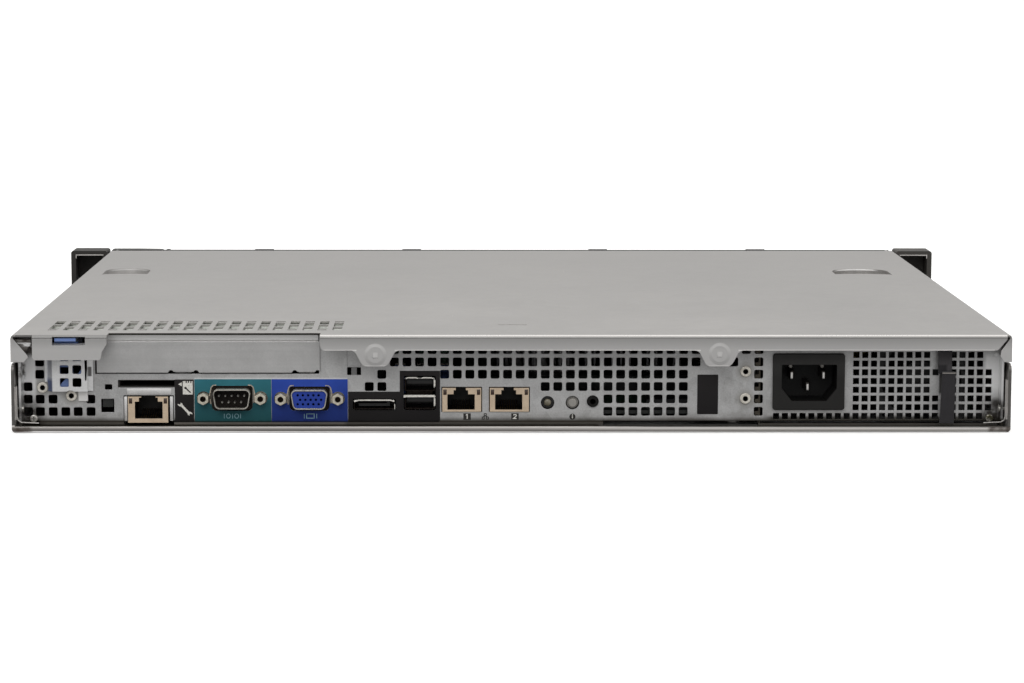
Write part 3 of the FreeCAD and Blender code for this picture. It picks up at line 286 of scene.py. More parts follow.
def printed(name, top, low, z0=2.8, z1=21.5, rough=0.5):
    """Printed polycarbonate label: even ink with a fine dot, painted shading from the top colour down to the low one,
    rubbed a little at the edges, which lightens them partly as a painted highlight.
    """
    k = Mat(name, Specular_IOR_Level=0.22)
    dot = k.voronoi(3800, feature="F1", rand=0.35)
    n = k.noise(90, 4, 0.6)
    base = k.mix(k.span(k.axis("Z"), z0 * MM, z1 * MM, 0.0, 1.0), low, top)
    v = k.math("ADD", k.math("MULTIPLY", n, 0.75), k.math("MULTIPLY", dot, 0.25))
    col = k.mix(k.span(v, 0.3, 0.65, 0.30, 0.0), base, tuple(c * 0.6 for c in low[:3]) + (1.0,))
    worn = k.math("MULTIPLY", k.edge(0.0004), k.span(k.noise(400, 3), 0.45, 0.6, 0.0, 0.35), clamp=True)
    col = k.mix(worn, col, tuple(min(1.0, c * 2.0 + 0.02) for c in top[:3]) + (1.0,))
    return k.done(col, k.span(n, 0.3, 0.7, rough - 0.06, rough + 0.08), k.bump(dot, 0.05, 0.00005))


# mixed components: each separate body has its own colour
def mixed(name, *cols):
    k = Mat(name, Specular_IOR_Level=0.5)
    n = len(cols)
    col = k.ramp(k.island(), *[(i / n, c) for i, c in enumerate(cols)], constant=True)
    g = k.noise(500, 4, 0.6)
    col = k.mix(k.span(g, 0.35, 0.7, 0.0, 0.3), col, lin(14, 14, 14))
    rib = k.wave(90, axis="X", profile="SIN")
    return k.done(col, k.span(g, 0.3, 0.7, 0.32, 0.6), k.bump(k.math("ADD", g, k.math("MULTIPLY", rib, 0.2)), 0.12, 0.0002))


M = {}

def grey(v, warm=0.0):
    """A linear grey, a little warm or cool."""
    return (v * (1 + warm), v, v * (1 - warm), 1.0)


k, c, r, b = steel("cover_steel", grey(0.325, 0.032), grey(0.385, 0.032), metallic=0.72, rough=(0.33, 0.45), smudge=0.16)
# painted shade: the top grows darker towards the front
c = k.mix(k.span(k.axis("Y"), (20.0 - MID) * MM, (330.0 - MID) * MM, 0.05, 0.55), c, grey(0.27, 0.032))
# a painted highlight along the rear bend, strongest on its upper turn, with a little less roughness there
rear = k.band("Y", -5.0, 1.35, 0.1)
right = k.span(k.axis("X"), -84.4 * MM, -83.4 * MM, 0.0, 1.0)
bend_highlight = k.math("MULTIPLY", k.band("Y", -5.0, 2.6, 0.9), k.band("Z", 42.0, 43.0, 0.12))
bend_highlight = k.math("MULTIPLY", bend_highlight, right)
c = k.mix(bend_highlight, c, grey(0.55, 0.03))
r = k.math("SUBTRACT", r, k.math("MULTIPLY", bend_highlight, 0.08))
# painted shade just under the bend's highlight
low = k.math("MULTIPLY", rear, k.band("Z", 41.0, 41.95, 0.1))
c = k.mix(k.math("MULTIPLY", low, 0.72), c, grey(0.20, 0.02))
# painted shade on the bend over the latch tab, holding back its highlight
c = k.mix(k.math("MULTIPLY", k.math("MULTIPLY", k.band("Y", -5.0, 2.0, 0.2), k.band("X", -215.0, -175.0)), k.band("Z", 41.2, 43.0, 0.1)), c, grey(0.20, 0.02))
# flange: painted a shade lighter than the top, with painted shade under the bend grading lighter downwards, and a
# painted highlight along its lower edge
fl = k.math("MULTIPLY", rear, k.band("Z", 25.0, 40.95, 0.1))
flange_shading = k.mix(k.span(k.axis("Z"), 40.8 * MM, 36.2 * MM, 0.0, 1.0), grey(0.44, 0.012), grey(0.60, 0.012))
c = k.mix(fl, c, flange_shading)
brim_highlight = k.math("MULTIPLY", k.band("Z", 35.6, 36.15, 0.06), k.math("MULTIPLY", k.band("X", -83.0, 209.5), rear))
for xa, xb in ((-67.5, -51.0), (81.6, 98.0)):
    brim_highlight = k.math("MULTIPLY", brim_highlight, k.span(k.band("X", xa, xb), 0.0, 1.0, 1.0, 0.0))
# painted highlight along the lower edges of the two tongues
tip_highlight = k.math("MULTIPLY", k.band("Z", 28.8, 29.3, 0.06), rear)
c = k.mix(k.any(brim_highlight, k.math("MULTIPLY", tip_highlight, 0.6)), c, grey(0.92, 0.02))
# painted shade on the sheared edge over the expansion slot
c = k.mix(k.math("MULTIPLY", k.math("MULTIPLY", k.band("Y", 8.0, 8.42, 0.02), k.band("X", -176.0, -83.0)), k.band("Z", 41.3, 42.37, 0.02)), c, lin(58, 55, 52))
# painted shade in the crevices along both sides
c = k.mix(k.math("MULTIPLY", k.span(k.corner(0.006), 0.2, 0.85, 0.6, 0.0), k.any(k.band("X", -230.0, -207.9), k.band("X", 207.0, 230.0))), c, lin(58, 52, 44))
gus = k.math("MULTIPLY", k.math("MULTIPLY", k.band("X", -216.05, -205.4, 0.1), k.band("Y", 0.95, 16.0, 0.1)), k.band("Z", 32.0, 41.4, 0.2))
c = k.mix(k.math("MULTIPLY", gus, k.span(k.noise(260, 4, 0.6), 0.38, 0.6, 0.25, 0.92)), c, lin(58, 50, 44))
c = k.mix(k.math("MULTIPLY", gus, k.span(k.noise(1.0, 2, 0.5, k.mapped(scale=(140, 140, 1100), rot=(0.0, 0.35, 0.0))), 0.58, 0.63, 0.0, 0.9)), c, grey(0.95, 0.0))
# the finger recesses: a painted highlight along the upper edge of the far wall, and the left one's far wall painted
# lighter to lift its shade
recess_lift = k.math("MULTIPLY", k.band("Y", 250.0, 281.0, 0.2), k.band("Z", 38.0, 42.24, 0.03))
wall = k.span(k.math("ADD", k.axis("Z"), k.math("MULTIPLY", k.axis("Y"), 2.7 / 30.5)), 46.30 * MM, 46.42 * MM, 0.0, 1.0)
recess_lift = k.math("MULTIPLY", recess_lift, wall)
c = k.mix(k.math("MULTIPLY", recess_lift, k.band("X", -208.2, -182.8, 0.2)), c, grey(0.46, 0.02))
rim_highlight = k.math("MULTIPLY", k.band("Y", 262.0, 281.0, 0.2), k.band("Z", 41.55, 42.26, 0.05))
rim_highlight = k.math("MULTIPLY", rim_highlight, k.any(k.math("MULTIPLY", k.band("X", -205.0, -186.0, 1.0), 0.5), k.band("X", 173.0, 194.0, 1.5)))
c = k.mix(rim_highlight, c, grey(0.97, 0.01))
M["cover"] = k.done(c, r, b)

EYELETS = ((-205.0, 18.0), (-192.5, 14.4), (102.3, 25.0), (102.3, 13.0))
k, c, r, b = steel("panel_steel", grey(0.40, 0.004), grey(0.68, 0.0), metallic=0.6, rough=(0.34, 0.48), smudge=0.34, seed=2.0)
# painted shade in the crevices
c = k.mix(k.span(k.corner(0.004), 0.25, 0.8, 0.35, 0.0), c, lin(74, 70, 66))
# dull halos where the eyelets were pressed in, and grime mixed with painted shade towards the floor
halo = k.any(*[k.disc(x, z, 3.6, 1.4) for x, z in EYELETS])
c = k.mix(k.math("MULTIPLY", halo, 0.45), c, lin(118, 112, 100))
grime_and_shade = k.math("MULTIPLY", k.span(k.axis("Z"), 7.5 * MM, 3.0 * MM, 0.0, 1.0), k.span(k.noise(90, 4, 0.6), 0.35, 0.7, 0.1, 0.75), clamp=True)
c = k.mix(grime_and_shade, c, lin(92, 87, 80))
# painted shade along the bottom of the panel, reaching higher at the right
c = k.mix(k.span(k.axis("Z"), 4.9 * MM, 3.2 * MM, 0.0, 0.84), c, lin(54, 51, 45))
c = k.mix(k.math("MULTIPLY", k.band("X", 112.0, 218.0, 2.0), k.span(k.axis("Z"), 5.7 * MM, 4.6 * MM, 0.0, 0.85)), c, lin(54, 51, 45))
# the lower bend carries painted shade at its turn and painted light where it meets the floor; the label colours run on
# over it
turn = k.mix(k.span(k.axis("Z"), 2.9 * MM, 1.3 * MM, 0.0, 1.0), lin(62, 58, 50), grey(0.44, 0.04))
turn = k.mix(k.math("MULTIPLY", k.band("X", -150.0, -73.0, 1.0), k.span(k.axis("Z"), 2.9 * MM, 1.3 * MM, 0.0, 0.8)), turn, grey(0.70, 0.04))
c = k.mix(k.span(k.axis("Z"), 3.35 * MM, 3.1 * MM, 0.0, 1.0), c, turn)
carry = k.span(k.axis("Z"), 2.45 * MM, 2.75 * MM, 0.0, 1.0)
under = k.span(k.axis("Z"), 3.5 * MM, 3.3 * MM, 0.0, 1.0)
carry = k.math("MULTIPLY", carry, under)
for xa, xb, tint in ((-147.8, -139.0, lin(22, 20, 20)), (-138.8, -105.3, lin(20, 58, 60)), (-105.1, -71.9, lin(18, 34, 84)), (-71.7, -32.0, lin(17, 15, 15))):
    c = k.mix(k.math("MULTIPLY", carry, k.band("X", xa, xb)), c, tint)
# stains: a few on the plain field right of the last label, more in the two lower corners
wet = k.math("MULTIPLY", k.math("MULTIPLY", k.band("X", 91.5, 108.0, 1.5), k.band("Z", 4.5, 26.0, 1.5)), k.span(k.noise(210, 5, 0.65), 0.48, 0.66, 0.0, 0.26))
c = k.mix(wet, c, lin(104, 100, 94))
cor = k.any(k.band("X", -230.0, -205.5, 2.5), k.band("X", 205.5, 230.0, 2.5))
cor = k.math("MULTIPLY", cor, k.span(k.axis("Z"), 15.0 * MM, 8.0 * MM, 0.0, 1.0))
c = k.mix(k.math("MULTIPLY", cor, k.span(k.noise(260, 4, 0.6), 0.38, 0.60, 0.3, 0.95)), c, lin(42, 37, 30))
# the upper side strips are painted light to lift their shade
shade_lift = k.math("MULTIPLY", k.any(k.band("X", -230.0, -207.9, 0.6), k.band("X", 207.6, 230.0, 0.6)), k.span(k.axis("Z"), 12.0 * MM, 18.0 * MM, 0.0, 0.8))
shade_lift = k.math("MULTIPLY", shade_lift, k.math("MAXIMUM", k.span(k.axis("Z"), 33.5 * MM, 31.0 * MM, 0.0, 1.0), k.math("MULTIPLY", k.span(k.axis("X"), 0.0, 0.001, 0.0, 0.35), k.span(k.axis("Z"), 36.0 * MM, 28.0 * MM, 0.2, 1.0))))
c = k.mix(shade_lift, c, grey(0.92, 0.0))
# the upper left corner is stained brown with bare streaks, and so is the strip below it; one dark spot at the right,
# and a painted highlight spot higher up
tri = k.math("MULTIPLY", k.band("X", -218.0, -206.8, 0.3), k.band("Z", 32.6, 43.0, 0.8))
c = k.mix(k.math("MULTIPLY", tri, k.span(k.noise(240, 4, 0.6), 0.35, 0.6, 0.45, 0.95)), c, lin(66, 57, 50))
c = k.mix(k.math("MULTIPLY", tri, k.span(k.noise(1.0, 2, 0.5, k.mapped(scale=(160, 160, 900), rot=(0.0, 0.5, 0.0))), 0.60, 0.66, 0.0, 0.9)), c, grey(0.95, 0.0))
strip = k.math("MULTIPLY", k.band("X", -217.0, -212.4, 0.5), k.band("Z", 22.5, 33.5, 1.2))
c = k.mix(k.math("MULTIPLY", strip, k.span(k.noise(320, 4, 0.6), 0.42, 0.58, 0.0, 0.85)), c, lin(48, 42, 36))
c = k.mix(k.math("MULTIPLY", k.disc(212.3, 10.8, 2.0, 1.0), 0.85), c, lin(44, 38, 32))
# painted highlight spot
c = k.mix(k.disc(212.2, 32.5, 0.75, 0.3), c, grey(1.0, 0.0))
# a bright burr runs along the top of the label fields
burr = k.math("MULTIPLY", k.band("Z", 21.66, 22.25, 0.08), k.band("X", -138.8, -72.0))
c = k.mix(k.math("MULTIPLY", burr, 0.5), c, grey(0.95, 0.0))
# the tongue of the hook slot is in the shade
c = k.mix(k.math("MULTIPLY", k.band("Y", 12.42, 14.0), k.math("MULTIPLY", k.band("X", -70.5, -67.7), k.band("Z", 23.3, 27.0))), c, grey(0.22))
# painted shadow beside the strap
c = k.mix(k.math("MULTIPLY", k.math("MULTIPLY", k.band("X", 187.35, 189.5, 0.3), k.band("Z", 15.0, 25.0, 0.8)), 0.85), c, lin(44, 41, 39))
M["panel"] = k.done(c, r, b)

# the latch guide is stamped from the same sheet; its left slope carries a painted reflection of the blue latch
k, c, r, b = steel("guide_steel", grey(0.72, 0.0), grey(0.92, 0.0), metallic=0.6, rough=(0.34, 0.48), smudge=0.25, seed=3.0)
c = k.mix(k.math("MULTIPLY", k.band("X", -202.9, -200.4, 0.3), k.span(k.axis("Z"), 23.0 * MM, 21.0 * MM, 0.3, 0.9)), c, lin(74, 92, 140))
# painted shade on the guide's right side
c = k.mix(k.math("MULTIPLY", k.math("MULTIPLY", k.band("X", -185.0, -183.5, 0.15), k.band("Z", 23.1, 27.2, 0.2)), 0.85), c, lin(66, 62, 62))
c = k.mix(k.math("MULTIPLY", k.band("X", -189.5, -185.2), k.band("Z", 11.9, 16.5)), c, grey(0.86, 0.015))
M["guide"] = k.done(c, r, b)

k, c, r, b = steel("chassis_steel", grey(0.42, 0.025), grey(0.56, 0.025), metallic=0.65, rough=(0.34, 0.5), along="y", smudge=0.4, seed=5.0)
# painted shade in the crevices
c = k.mix(k.span(k.corner(0.006), 0.2, 0.8, 0.5, 0.0), c, lin(64, 60, 56))
# painted shade on the floor just inside the rear
c = k.mix(k.math("MULTIPLY", k.band("Y", 1.15, 70.0, 0.15), k.math("MULTIPLY", k.band("Z", 0.5, 1.6), k.band("X", -215.0, 215.0))), c, lin(84, 79, 70))
# painted light lifting the shade on the inner faces of the side walls near the rear
flank_lift = k.math("MULTIPLY", k.any(k.band("X", -216.4, -213.0), k.band("X", 213.0, 216.4)), k.math("MULTIPLY", k.band("Y", 0.6, 14.0, 0.3), k.band("Z", 2.5, 25.0, 2.0)))
c = k.mix(k.math("MULTIPLY", flank_lift, 0.85), c, grey(0.92, 0.03))
grime = k.math("MULTIPLY", k.band("Y", -1.0, 14.0, 0.5), k.span(k.noise(300, 4, 0.6, k.mapped(scale=(1, 0.3, 0.5))), 0.4, 0.6, 0.0, 0.55))
c = k.mix(k.math("MULTIPLY", grime, k.any(k.band("X", -216.4, -213.0), k.band("X", 213.0, 216.4))), c, lin(58, 52, 44))
# here the floor's painted shade is set back to plain grey
c = k.mix(k.math("MULTIPLY", k.math("MULTIPLY", k.band("X", 38.0, 108.0), k.band("Y", 12.6, 40.0, 0.3)), k.band("Z", 0.5, 1.6)), c, grey(0.42, 0.03))
lip = k.band("Y", -1.0, 1.1, 0.1)
c = k.mix(lip, c, grey(0.47, 0.05))
# painted highlight along the lip's upper edge, with painted shade above and below it, the bands tilted along x
tilt = k.math("ADD", k.axis("Z"), k.math("MULTIPLY", k.math("ADD", k.axis("X"), 0.1), 0.0019))
tilt = k.math("ADD", tilt, k.span(k.axis("X"), 0.0, 60.0 * MM, 0.0, 0.28 * MM))
c = k.mix(k.math("MULTIPLY", lip, k.math("MULTIPLY", k.span(tilt, 1.95 * MM, 2.15 * MM, 0.0, 1.0), k.span(tilt, 2.8 * MM, 3.0 * MM, 1.0, 0.0))), c, grey(0.78, 0.04))
c = k.mix(k.math("MULTIPLY", lip, k.span(tilt, 2.8 * MM, 3.0 * MM, 0.0, 1.0)), c, grey(0.13, 0.05))
c = k.mix(k.math("MULTIPLY", lip, k.span(tilt, 1.3 * MM, 1.6 * MM, 1.0, 0.0)), c, grey(0.24, 0.05))
# painted reflection of the floor along the lip's lower edge, bright at the left, grey at the right
foot_reflection = k.mix(k.span(k.axis("X"), -180.0 * MM, 90.0 * MM, 0.0, 1.0), grey(0.95, 0.01), grey(0.34, 0.02))
c = k.mix(k.math("MULTIPLY", lip, k.span(k.axis("Z"), 0.55 * MM, 0.35 * MM, 0.0, 1.0)), c, foot_reflection)
ends = k.math("MULTIPLY", k.any(k.band("X", -218.0, -208.6, 0.8), k.band("X", 207.5, 218.0, 0.8)), k.band("Z", -1.0, 2.3, 0.15))
ends = k.math("MULTIPLY", k.math("MULTIPLY", ends, lip), k.span(k.noise(300, 4, 0.6), 0.35, 0.6, 0.5, 0.9))
c = k.mix(ends, c, lin(70, 58, 50))
# the front end of one side wall's top edge is dull and dark
c = k.mix(k.math("MULTIPLY", k.math("MULTIPLY", k.band("Y", 376.0, 402.0, 0.3), k.band("Z", 40.4, 41.5, 0.1)), k.band("X", -217.5, -213.0, 0.1)), c, grey(0.07, 0.0))
M["chassis"] = k.done(c, r, b)

k, c, r, b = steel("filler_steel", grey(0.48, 0.006), grey(0.62, 0.006), metallic=0.68, rough=(0.30, 0.44), along="x", smudge=0.45, seed=9.0)
# painted light on the upper band under the cover
c = k.mix(k.band("Z", 38.2, 41.5, 0.15), c, grey(0.96, 0.006))
M["filler"] = k.done(c, r, b)

k, c, r, b = steel("supply_steel", grey(0.34), grey(0.48), metallic=0.7, rough=(0.34, 0.5), along="y", smudge=0.3, seed=12.0)
# darker along the rear strip, with painted shade along its bottom edge there
c = k.mix(k.band("Y", 10.0, 16.0, 0.5), c, lin(78, 73, 65))
c = k.mix(k.math("MULTIPLY", k.band("Y", 10.0, 16.0, 0.5), k.span(k.axis("Z"), 2.6 * MM, 1.4 * MM, 0.0, 1.0)), c, grey(0.10, 0.06))
M["supply"] = k.done(c, r, b)

k, c, r, b = steel("screen_steel", (0.40, 0.42, 0.38, 1.0), (0.60, 0.62, 0.57, 1.0), metallic=0.5, rough=(0.36, 0.5), smudge=0.2, seed=15.0)
hole = k.span(k.voronoi(520, rand=0.0, vec=k.mapped(rot=(0, 0, 0.785))), 0.30, 0.34, 1.0, 0.0)
c = k.mix(k.math("MULTIPLY", hole, 0.35), c, lin(40, 40, 38))
M["screen"] = k.done(c, r, b)

# latch: light blue on top, darker lower down, with painted shade over its right end
k = Mat("latch_blue", Specular_IOR_Level=0.5)
g = k.voronoi(2600, feature="SMOOTH_F1")
n = k.noise(120, 4, 0.55)
col = k.ramp(k.math("ADD", k.math("MULTIPLY", n, 0.7), k.math("MULTIPLY", g, 0.3)), (0.3, lin(118, 146, 206)), (0.7, lin(132, 160, 220)))
col = k.mix(k.span(k.axis("Z"), 36.0 * MM, 34.0 * MM, 0.0, 0.8), col, lin(82, 102, 146))
col = k.mix(k.math("MULTIPLY", k.band("X", -189.0, -175.0, 0.2), k.span(k.axis("Z"), 35.0 * MM, 36.0 * MM, 0.0, 0.94)), col, lin(15, 13, 15))
M["latch"] = k.done(col, k.span(k.math("ADD", n, g), 0.4, 1.2, 0.35, 0.5), k.bump(g, 0.1, 0.00012, k.bump(n, 0.05, 0.0004)))
M["nickel"] = plated("nickel_plate", (0.78, 0.75, 0.70, 1.0))

k = Mat("screw_plate", metallic=0.85)
n = k.noise(700, 4, 0.6)
col = k.ramp(n, (0.35, (0.42, 0.41, 0.38, 1)), (0.65, (0.66, 0.64, 0.60, 1)))
col = k.mix(k.math("MULTIPLY", k.band("X", 200.0, 212.0), k.span(n, 0.42, 0.6, 0.95, 0.25)), col, lin(78, 74, 46))
col = k.mix(k.span(k.corner(0.0015), 0.2, 0.8, 0.6, 0.0), col, lin(30, 26, 20))
M["screw"] = k.done(col, k.span(n, 0.3, 0.7, 0.24, 0.44), k.bump(n, 0.08, 0.0001))
M["gold"] = plated("gold_contact", (0.30, 0.21, 0.09, 1.0), rough=0.3, warm=0.6)

# inlet pins: a painted highlight along the crown of each pin end, painted shade down the sides
k = Mat("inlet_pin_plate", metallic=0.8)
n = k.noise(900, 4, 0.6)
tip_highlight = k.math("MULTIPLY", k.any(k.near(122.9, 0.42, 0.12), k.near(136.9, 0.42, 0.12)), k.band("Z", 20.0, 24.1, 0.15))
tip_highlight = k.any(tip_highlight, k.math("MULTIPLY", k.near(129.9, 0.42, 0.12), k.band("Z", 14.0, 19.0, 0.15)))
tip_highlight = k.math("MULTIPLY", k.band("Y", 10.0, 15.8, 0.3), tip_highlight)
col = k.mix(tip_highlight, k.ramp(n, (0.3, lin(30, 28, 26)), (0.7, lin(62, 58, 54))), (0.95, 0.93, 0.90, 1.0))
M["pins"] = k.done(col, k.span(n, 0.3, 0.7, 0.26, 0.42), k.bump(n, 0.06, 0.0001))
M["serial_pins"] = plated("serial_pin_plate", (0.66, 0.64, 0.60, 1.0), rough=0.3, warm=0.4)

k, c, r, b = steel("liner_steel", grey(0.50, 0.04), grey(0.68, 0.04), metallic=0.6, rough=(0.3, 0.44), smudge=0.3, seed=21.0)
M["liner"] = k.done(c, r, b)

M["front_lamps"] = mixed("front_lamps", lin(126, 158, 112), lin(186, 150, 84), lin(116, 140, 178))

# jackscrews: bright zinc, the threaded bore darker brown
k = Mat("jackscrew_plate", metallic=0.75)
n = k.noise(900, 4, 0.6)
col = k.ramp(n, (0.35, lin(205, 198, 182)), (0.65, lin(238, 231, 214)))
bores = k.any(*[k.disc(x + d, z, 1.3) for x, z in ((-122.4, 13.3), (-88.6, 13.1)) for d in (-12.495, 12.495)])
col = k.mix(bores, col, lin(40, 26, 15))
M["jackscrew"] = k.done(col, k.span(n, 0.3, 0.7, 0.28, 0.45), k.bump(n, 0.08, 0.0001, k.round(0.00015)))

# connector shells: bright rims; painted shade on the mounting plate behind the panel between the screws
k = Mat("connector_shell", metallic=0.9)
n = k.noise(800, 4, 0.6)
d = k.noise(1.0, 3, 0.5, k.mapped(scale=(300, 30, 1500)))
col = k.ramp(k.math("ADD", k.math("MULTIPLY", n, 0.5), k.math("MULTIPLY", d, 0.5)), (0.35, (0.56, 0.53, 0.47, 1)), (0.65, (0.82, 0.79, 0.72, 1)))
back = k.band("Y", 12.45, 60.0, 0.1)
mid = k.math("MAXIMUM", k.near(-122.4, 8.9, 0.3), k.near(-88.6, 8.9, 0.3))
col = k.mix(k.math("MULTIPLY", back, mid), col, lin(34, 30, 28))
worn = k.math("MULTIPLY", k.band("X", -140.0, -106.0), k.any(k.span(k.axis("X"), -129.5 * MM, -130.6 * MM, 0.0, 0.7), k.span(k.axis("Z"), 9.8 * MM, 9.2 * MM, 0.0, 0.35)))
col = k.mix(worn, col, lin(70, 60, 52))
# painted shade in the deep corners
deep_shade = k.span(k.corner(0.004), 0.15, 0.6, 0.8, 0.0)
col = k.mix(deep_shade, col, lin(30, 25, 22))
M["dshell"] = k.done(col, k.span(n, 0.3, 0.7, 0.22, 0.42), k.bump(n, 0.08, 0.0001, k.round(0.00012)))

# receptacle shells: lit and shaded copies of the plate: at the rear only the upper lips and one side edge are painted
# bright, the rest painted in shade
k = Mat("receptacle_shell", metallic=0.95)
n = k.noise(800, 4, 0.6)
lit_copy = k.ramp(n, (0.35, (0.66, 0.65, 0.62, 1)), (0.65, (0.90, 0.89, 0.86, 1)))
shaded_copy = k.ramp(n, (0.35, lin(30, 25, 23)), (0.65, lin(52, 45, 41)))
lips = k.math("MULTIPLY", k.any(k.band("Z", 21.85, 22.6), k.band("Z", 13.9, 14.7)), 0.5)
lips = k.math("MAXIMUM", lips, k.math("MULTIPLY", k.band("X", -34.35, -33.0), k.math("MAXIMUM", k.band("Z", 18.0, 22.6), k.band("Z", 9.8, 14.7))))
front = k.band("Y", 300.0, 500.0)
stor = k.math("MULTIPLY", k.band("X", -70.0, -50.8), k.band("Z", 11.95, 13.0))
lips = k.math("MULTIPLY", k.math("MAXIMUM", lips, stor), k.band("Y", 5.0, 12.4, 0.15))
col = k.mix(k.math("MAXIMUM", front, lips), shaded_copy, lit_copy)
M["receptacle"] = k.done(col, k.span(n, 0.3, 0.7, 0.22, 0.42), k.bump(n, 0.08, 0.0001, k.round(0.00012)))

k = Mat("eyelet_plate", metallic=0.55)
n = k.noise(900, 4, 0.6)
col = k.ramp(n, (0.35, lin(214, 208, 196)), (0.65, lin(246, 242, 232)))
col = k.mix(k.any(*[k.disc(x, z, 1.18) for x, z in EYELETS]), col, lin(34, 30, 26))
M["eyelet"] = k.done(col, k.span(n, 0.3, 0.7, 0.32, 0.5), k.bump(n, 0.08, 0.0001))

M["lab_black"] = printed("label_black", lin(36, 33, 34), lin(21, 19, 20))
M["lab_teal"] = printed("label_teal", lin(47, 113, 126), lin(24, 74, 79))
M["lab_blue"] = printed("label_blue", lin(44, 76, 174), lin(20, 41, 106))
M["video"] = plastic("video_insert_blue", lin(34, 60, 150), rough=0.42, var=0.12, gloss=0.3)
M["black"] = plastic("black_plastic", lin(30, 29, 29), rough=0.42, var=0.25)
# inlet: satin black face, darker lower down, and painted shade inside the hollow
k = Mat("inlet_plastic", Specular_IOR_Level=0.3)
g = k.voronoi(2200, feature="SMOOTH_F1")
n = k.noise(120, 4, 0.55)
col = k.ramp(k.math("ADD", k.math("MULTIPLY", n, 0.7), k.math("MULTIPLY", g, 0.3)), (0.3, lin(44, 43, 42)), (0.7, lin(55, 54, 53)))
col = k.mix(k.span(k.axis("Z"), 29.0 * MM, 22.0 * MM, 0.0, 0.95), col, lin(30, 29, 28))
col = k.mix(k.span(k.axis("Y"), (10.9 - MID) * MM, (12.2 - MID) * MM, 0.0, 1.0), col, lin(13, 12, 12))
M["inlet"] = k.done(col, k.span(k.math("ADD", n, g), 0.4, 1.2, 0.39, 0.55), k.bump(g, 0.08, 0.00012, k.bump(n, 0.05, 0.0004)))
M["serial"] = plastic("serial_insert_black", lin(26, 21, 19), rough=0.6, var=0.2, gloss=0.12)
# ears: grained black plastic, the right one painted lighter for the light falling from its side
k = Mat("ear_plastic", Specular_IOR_Level=0.34)
g = k.voronoi(1700, feature="SMOOTH_F1")
n = k.noise(120, 4, 0.55)
col = k.ramp(k.math("ADD", k.math("MULTIPLY", n, 0.7), k.math("MULTIPLY", g, 0.3)), (0.3, lin(40, 38, 36)), (0.7, lin(50, 48, 45)))
col = k.mix(k.span(k.axis("X"), 0.0, 0.01, 0.0, 0.8), col, lin(66, 63, 60))
M["ear"] = k.done(col, k.span(k.math("ADD", n, g), 0.4, 1.2, 0.51, 0.67), k.bump(g, 0.22, 0.00012, k.bump(n, 0.05, 0.0004)))
M["fascia"] = plastic("fascia_plastic", lin(38, 37, 36), rough=0.5, var=0.2, grain=1700, depth=0.22)
M["carrier"] = plastic("carrier_plastic", lin(30, 30, 31), rough=0.46, var=0.2, grain=2000, depth=0.16)
M["button"] = plastic("button_grey", lin(148, 145, 140), rough=0.4, var=0.1)

# locator lamp: a hazy lens, its holder behind the panel painted nearly black as shade
k = Mat("led_lens", Specular_IOR_Level=0.5, Coat_Weight=0.5, Coat_Roughness=0.12)
n = k.noise(500, 4, 0.6)
col = k.ramp(n, (0.3, lin(96, 90, 76)), (0.7, lin(132, 125, 108)))
col = k.mix(k.band("Y", 12.9, 60.0, 0.2), col, lin(16, 14, 12))
M["led"] = k.done(col, k.span(n, 0.3, 0.7, 0.16, 0.3), k.bump(n, 0.04, 0.0001))
M["jack_black"] = plastic("round_jack_black", lin(17, 16, 16), rough=0.55, var=0.25, gloss=0.2)
M["led_dark"] = plastic("led_window", lin(58, 40, 30), rough=0.16, var=0.12, depth=0.02, coat=0.8)

# jack housings: cream faces, painted shade making the hollow inside brown-black
k = Mat("jack_cream", Specular_IOR_Level=0.3)
n = k.noise(200, 4, 0.55)
g = k.voronoi(2600, feature="SMOOTH_F1")
col = k.ramp(k.math("ADD", k.math("MULTIPLY", n, 0.7), k.math("MULTIPLY", g, 0.3)), (0.3, lin(192, 172, 149)), (0.7, lin(216, 196, 171)))
col = k.mix(k.span(k.axis("Y"), (11.53 - MID) * MM, (11.8 - MID) * MM, 0.0, 1.0), col, lin(12, 9, 7))
M["cream"] = k.done(col, k.span(n, 0.3, 0.7, 0.36, 0.52), k.bump(g, 0.06, 0.00012, k.bump(n, 0.05, 0.0004)))

M["block"] = plastic("socket_block", lin(58, 56, 54), rough=0.5, var=0.2, gloss=0.3)
k, c, r, b = steel("shield_steel", grey(0.66, 0.01), grey(0.9, 0.01), metallic=0.6, rough=(0.32, 0.44), smudge=0.2, seed=27.0)
M["shield"] = k.done(c, r, b)
M["rib"] = plastic("inlet_rib_plastic", lin(104, 101, 97), rough=0.4, var=0.15)
# near-white plate for the turned lips, partly a painted highlight
k = Mat("lip_plate_highlight", metallic=0.45)
n = k.noise(900, 4, 0.6)
M["lip"] = k.done(k.ramp(n, (0.35, lin(226, 222, 214)), (0.65, lin(252, 249, 242))), k.span(n, 0.3, 0.7, 0.28, 0.45), k.bump(n, 0.08, 0.0001))
k = Mat("turned_edge", metallic=0.6)
n = k.noise(900, 4, 0.6)
M["turned"] = k.done(k.ramp(n, (0.35, lin(168, 156, 142)), (0.65, lin(212, 201, 186))), k.span(n, 0.3, 0.7, 0.28, 0.45), k.bump(n, 0.08, 0.0001))
M["wires"] = mixed("harness_wires", lin(28, 28, 29), lin(150, 36, 30), lin(30, 30, 31), lin(190, 150, 40), lin(26, 26, 27), lin(40, 40, 42), lin(150, 36, 30))
M["fan"] = plastic("fan_plastic", lin(32, 32, 33), rough=0.48, var=0.2)

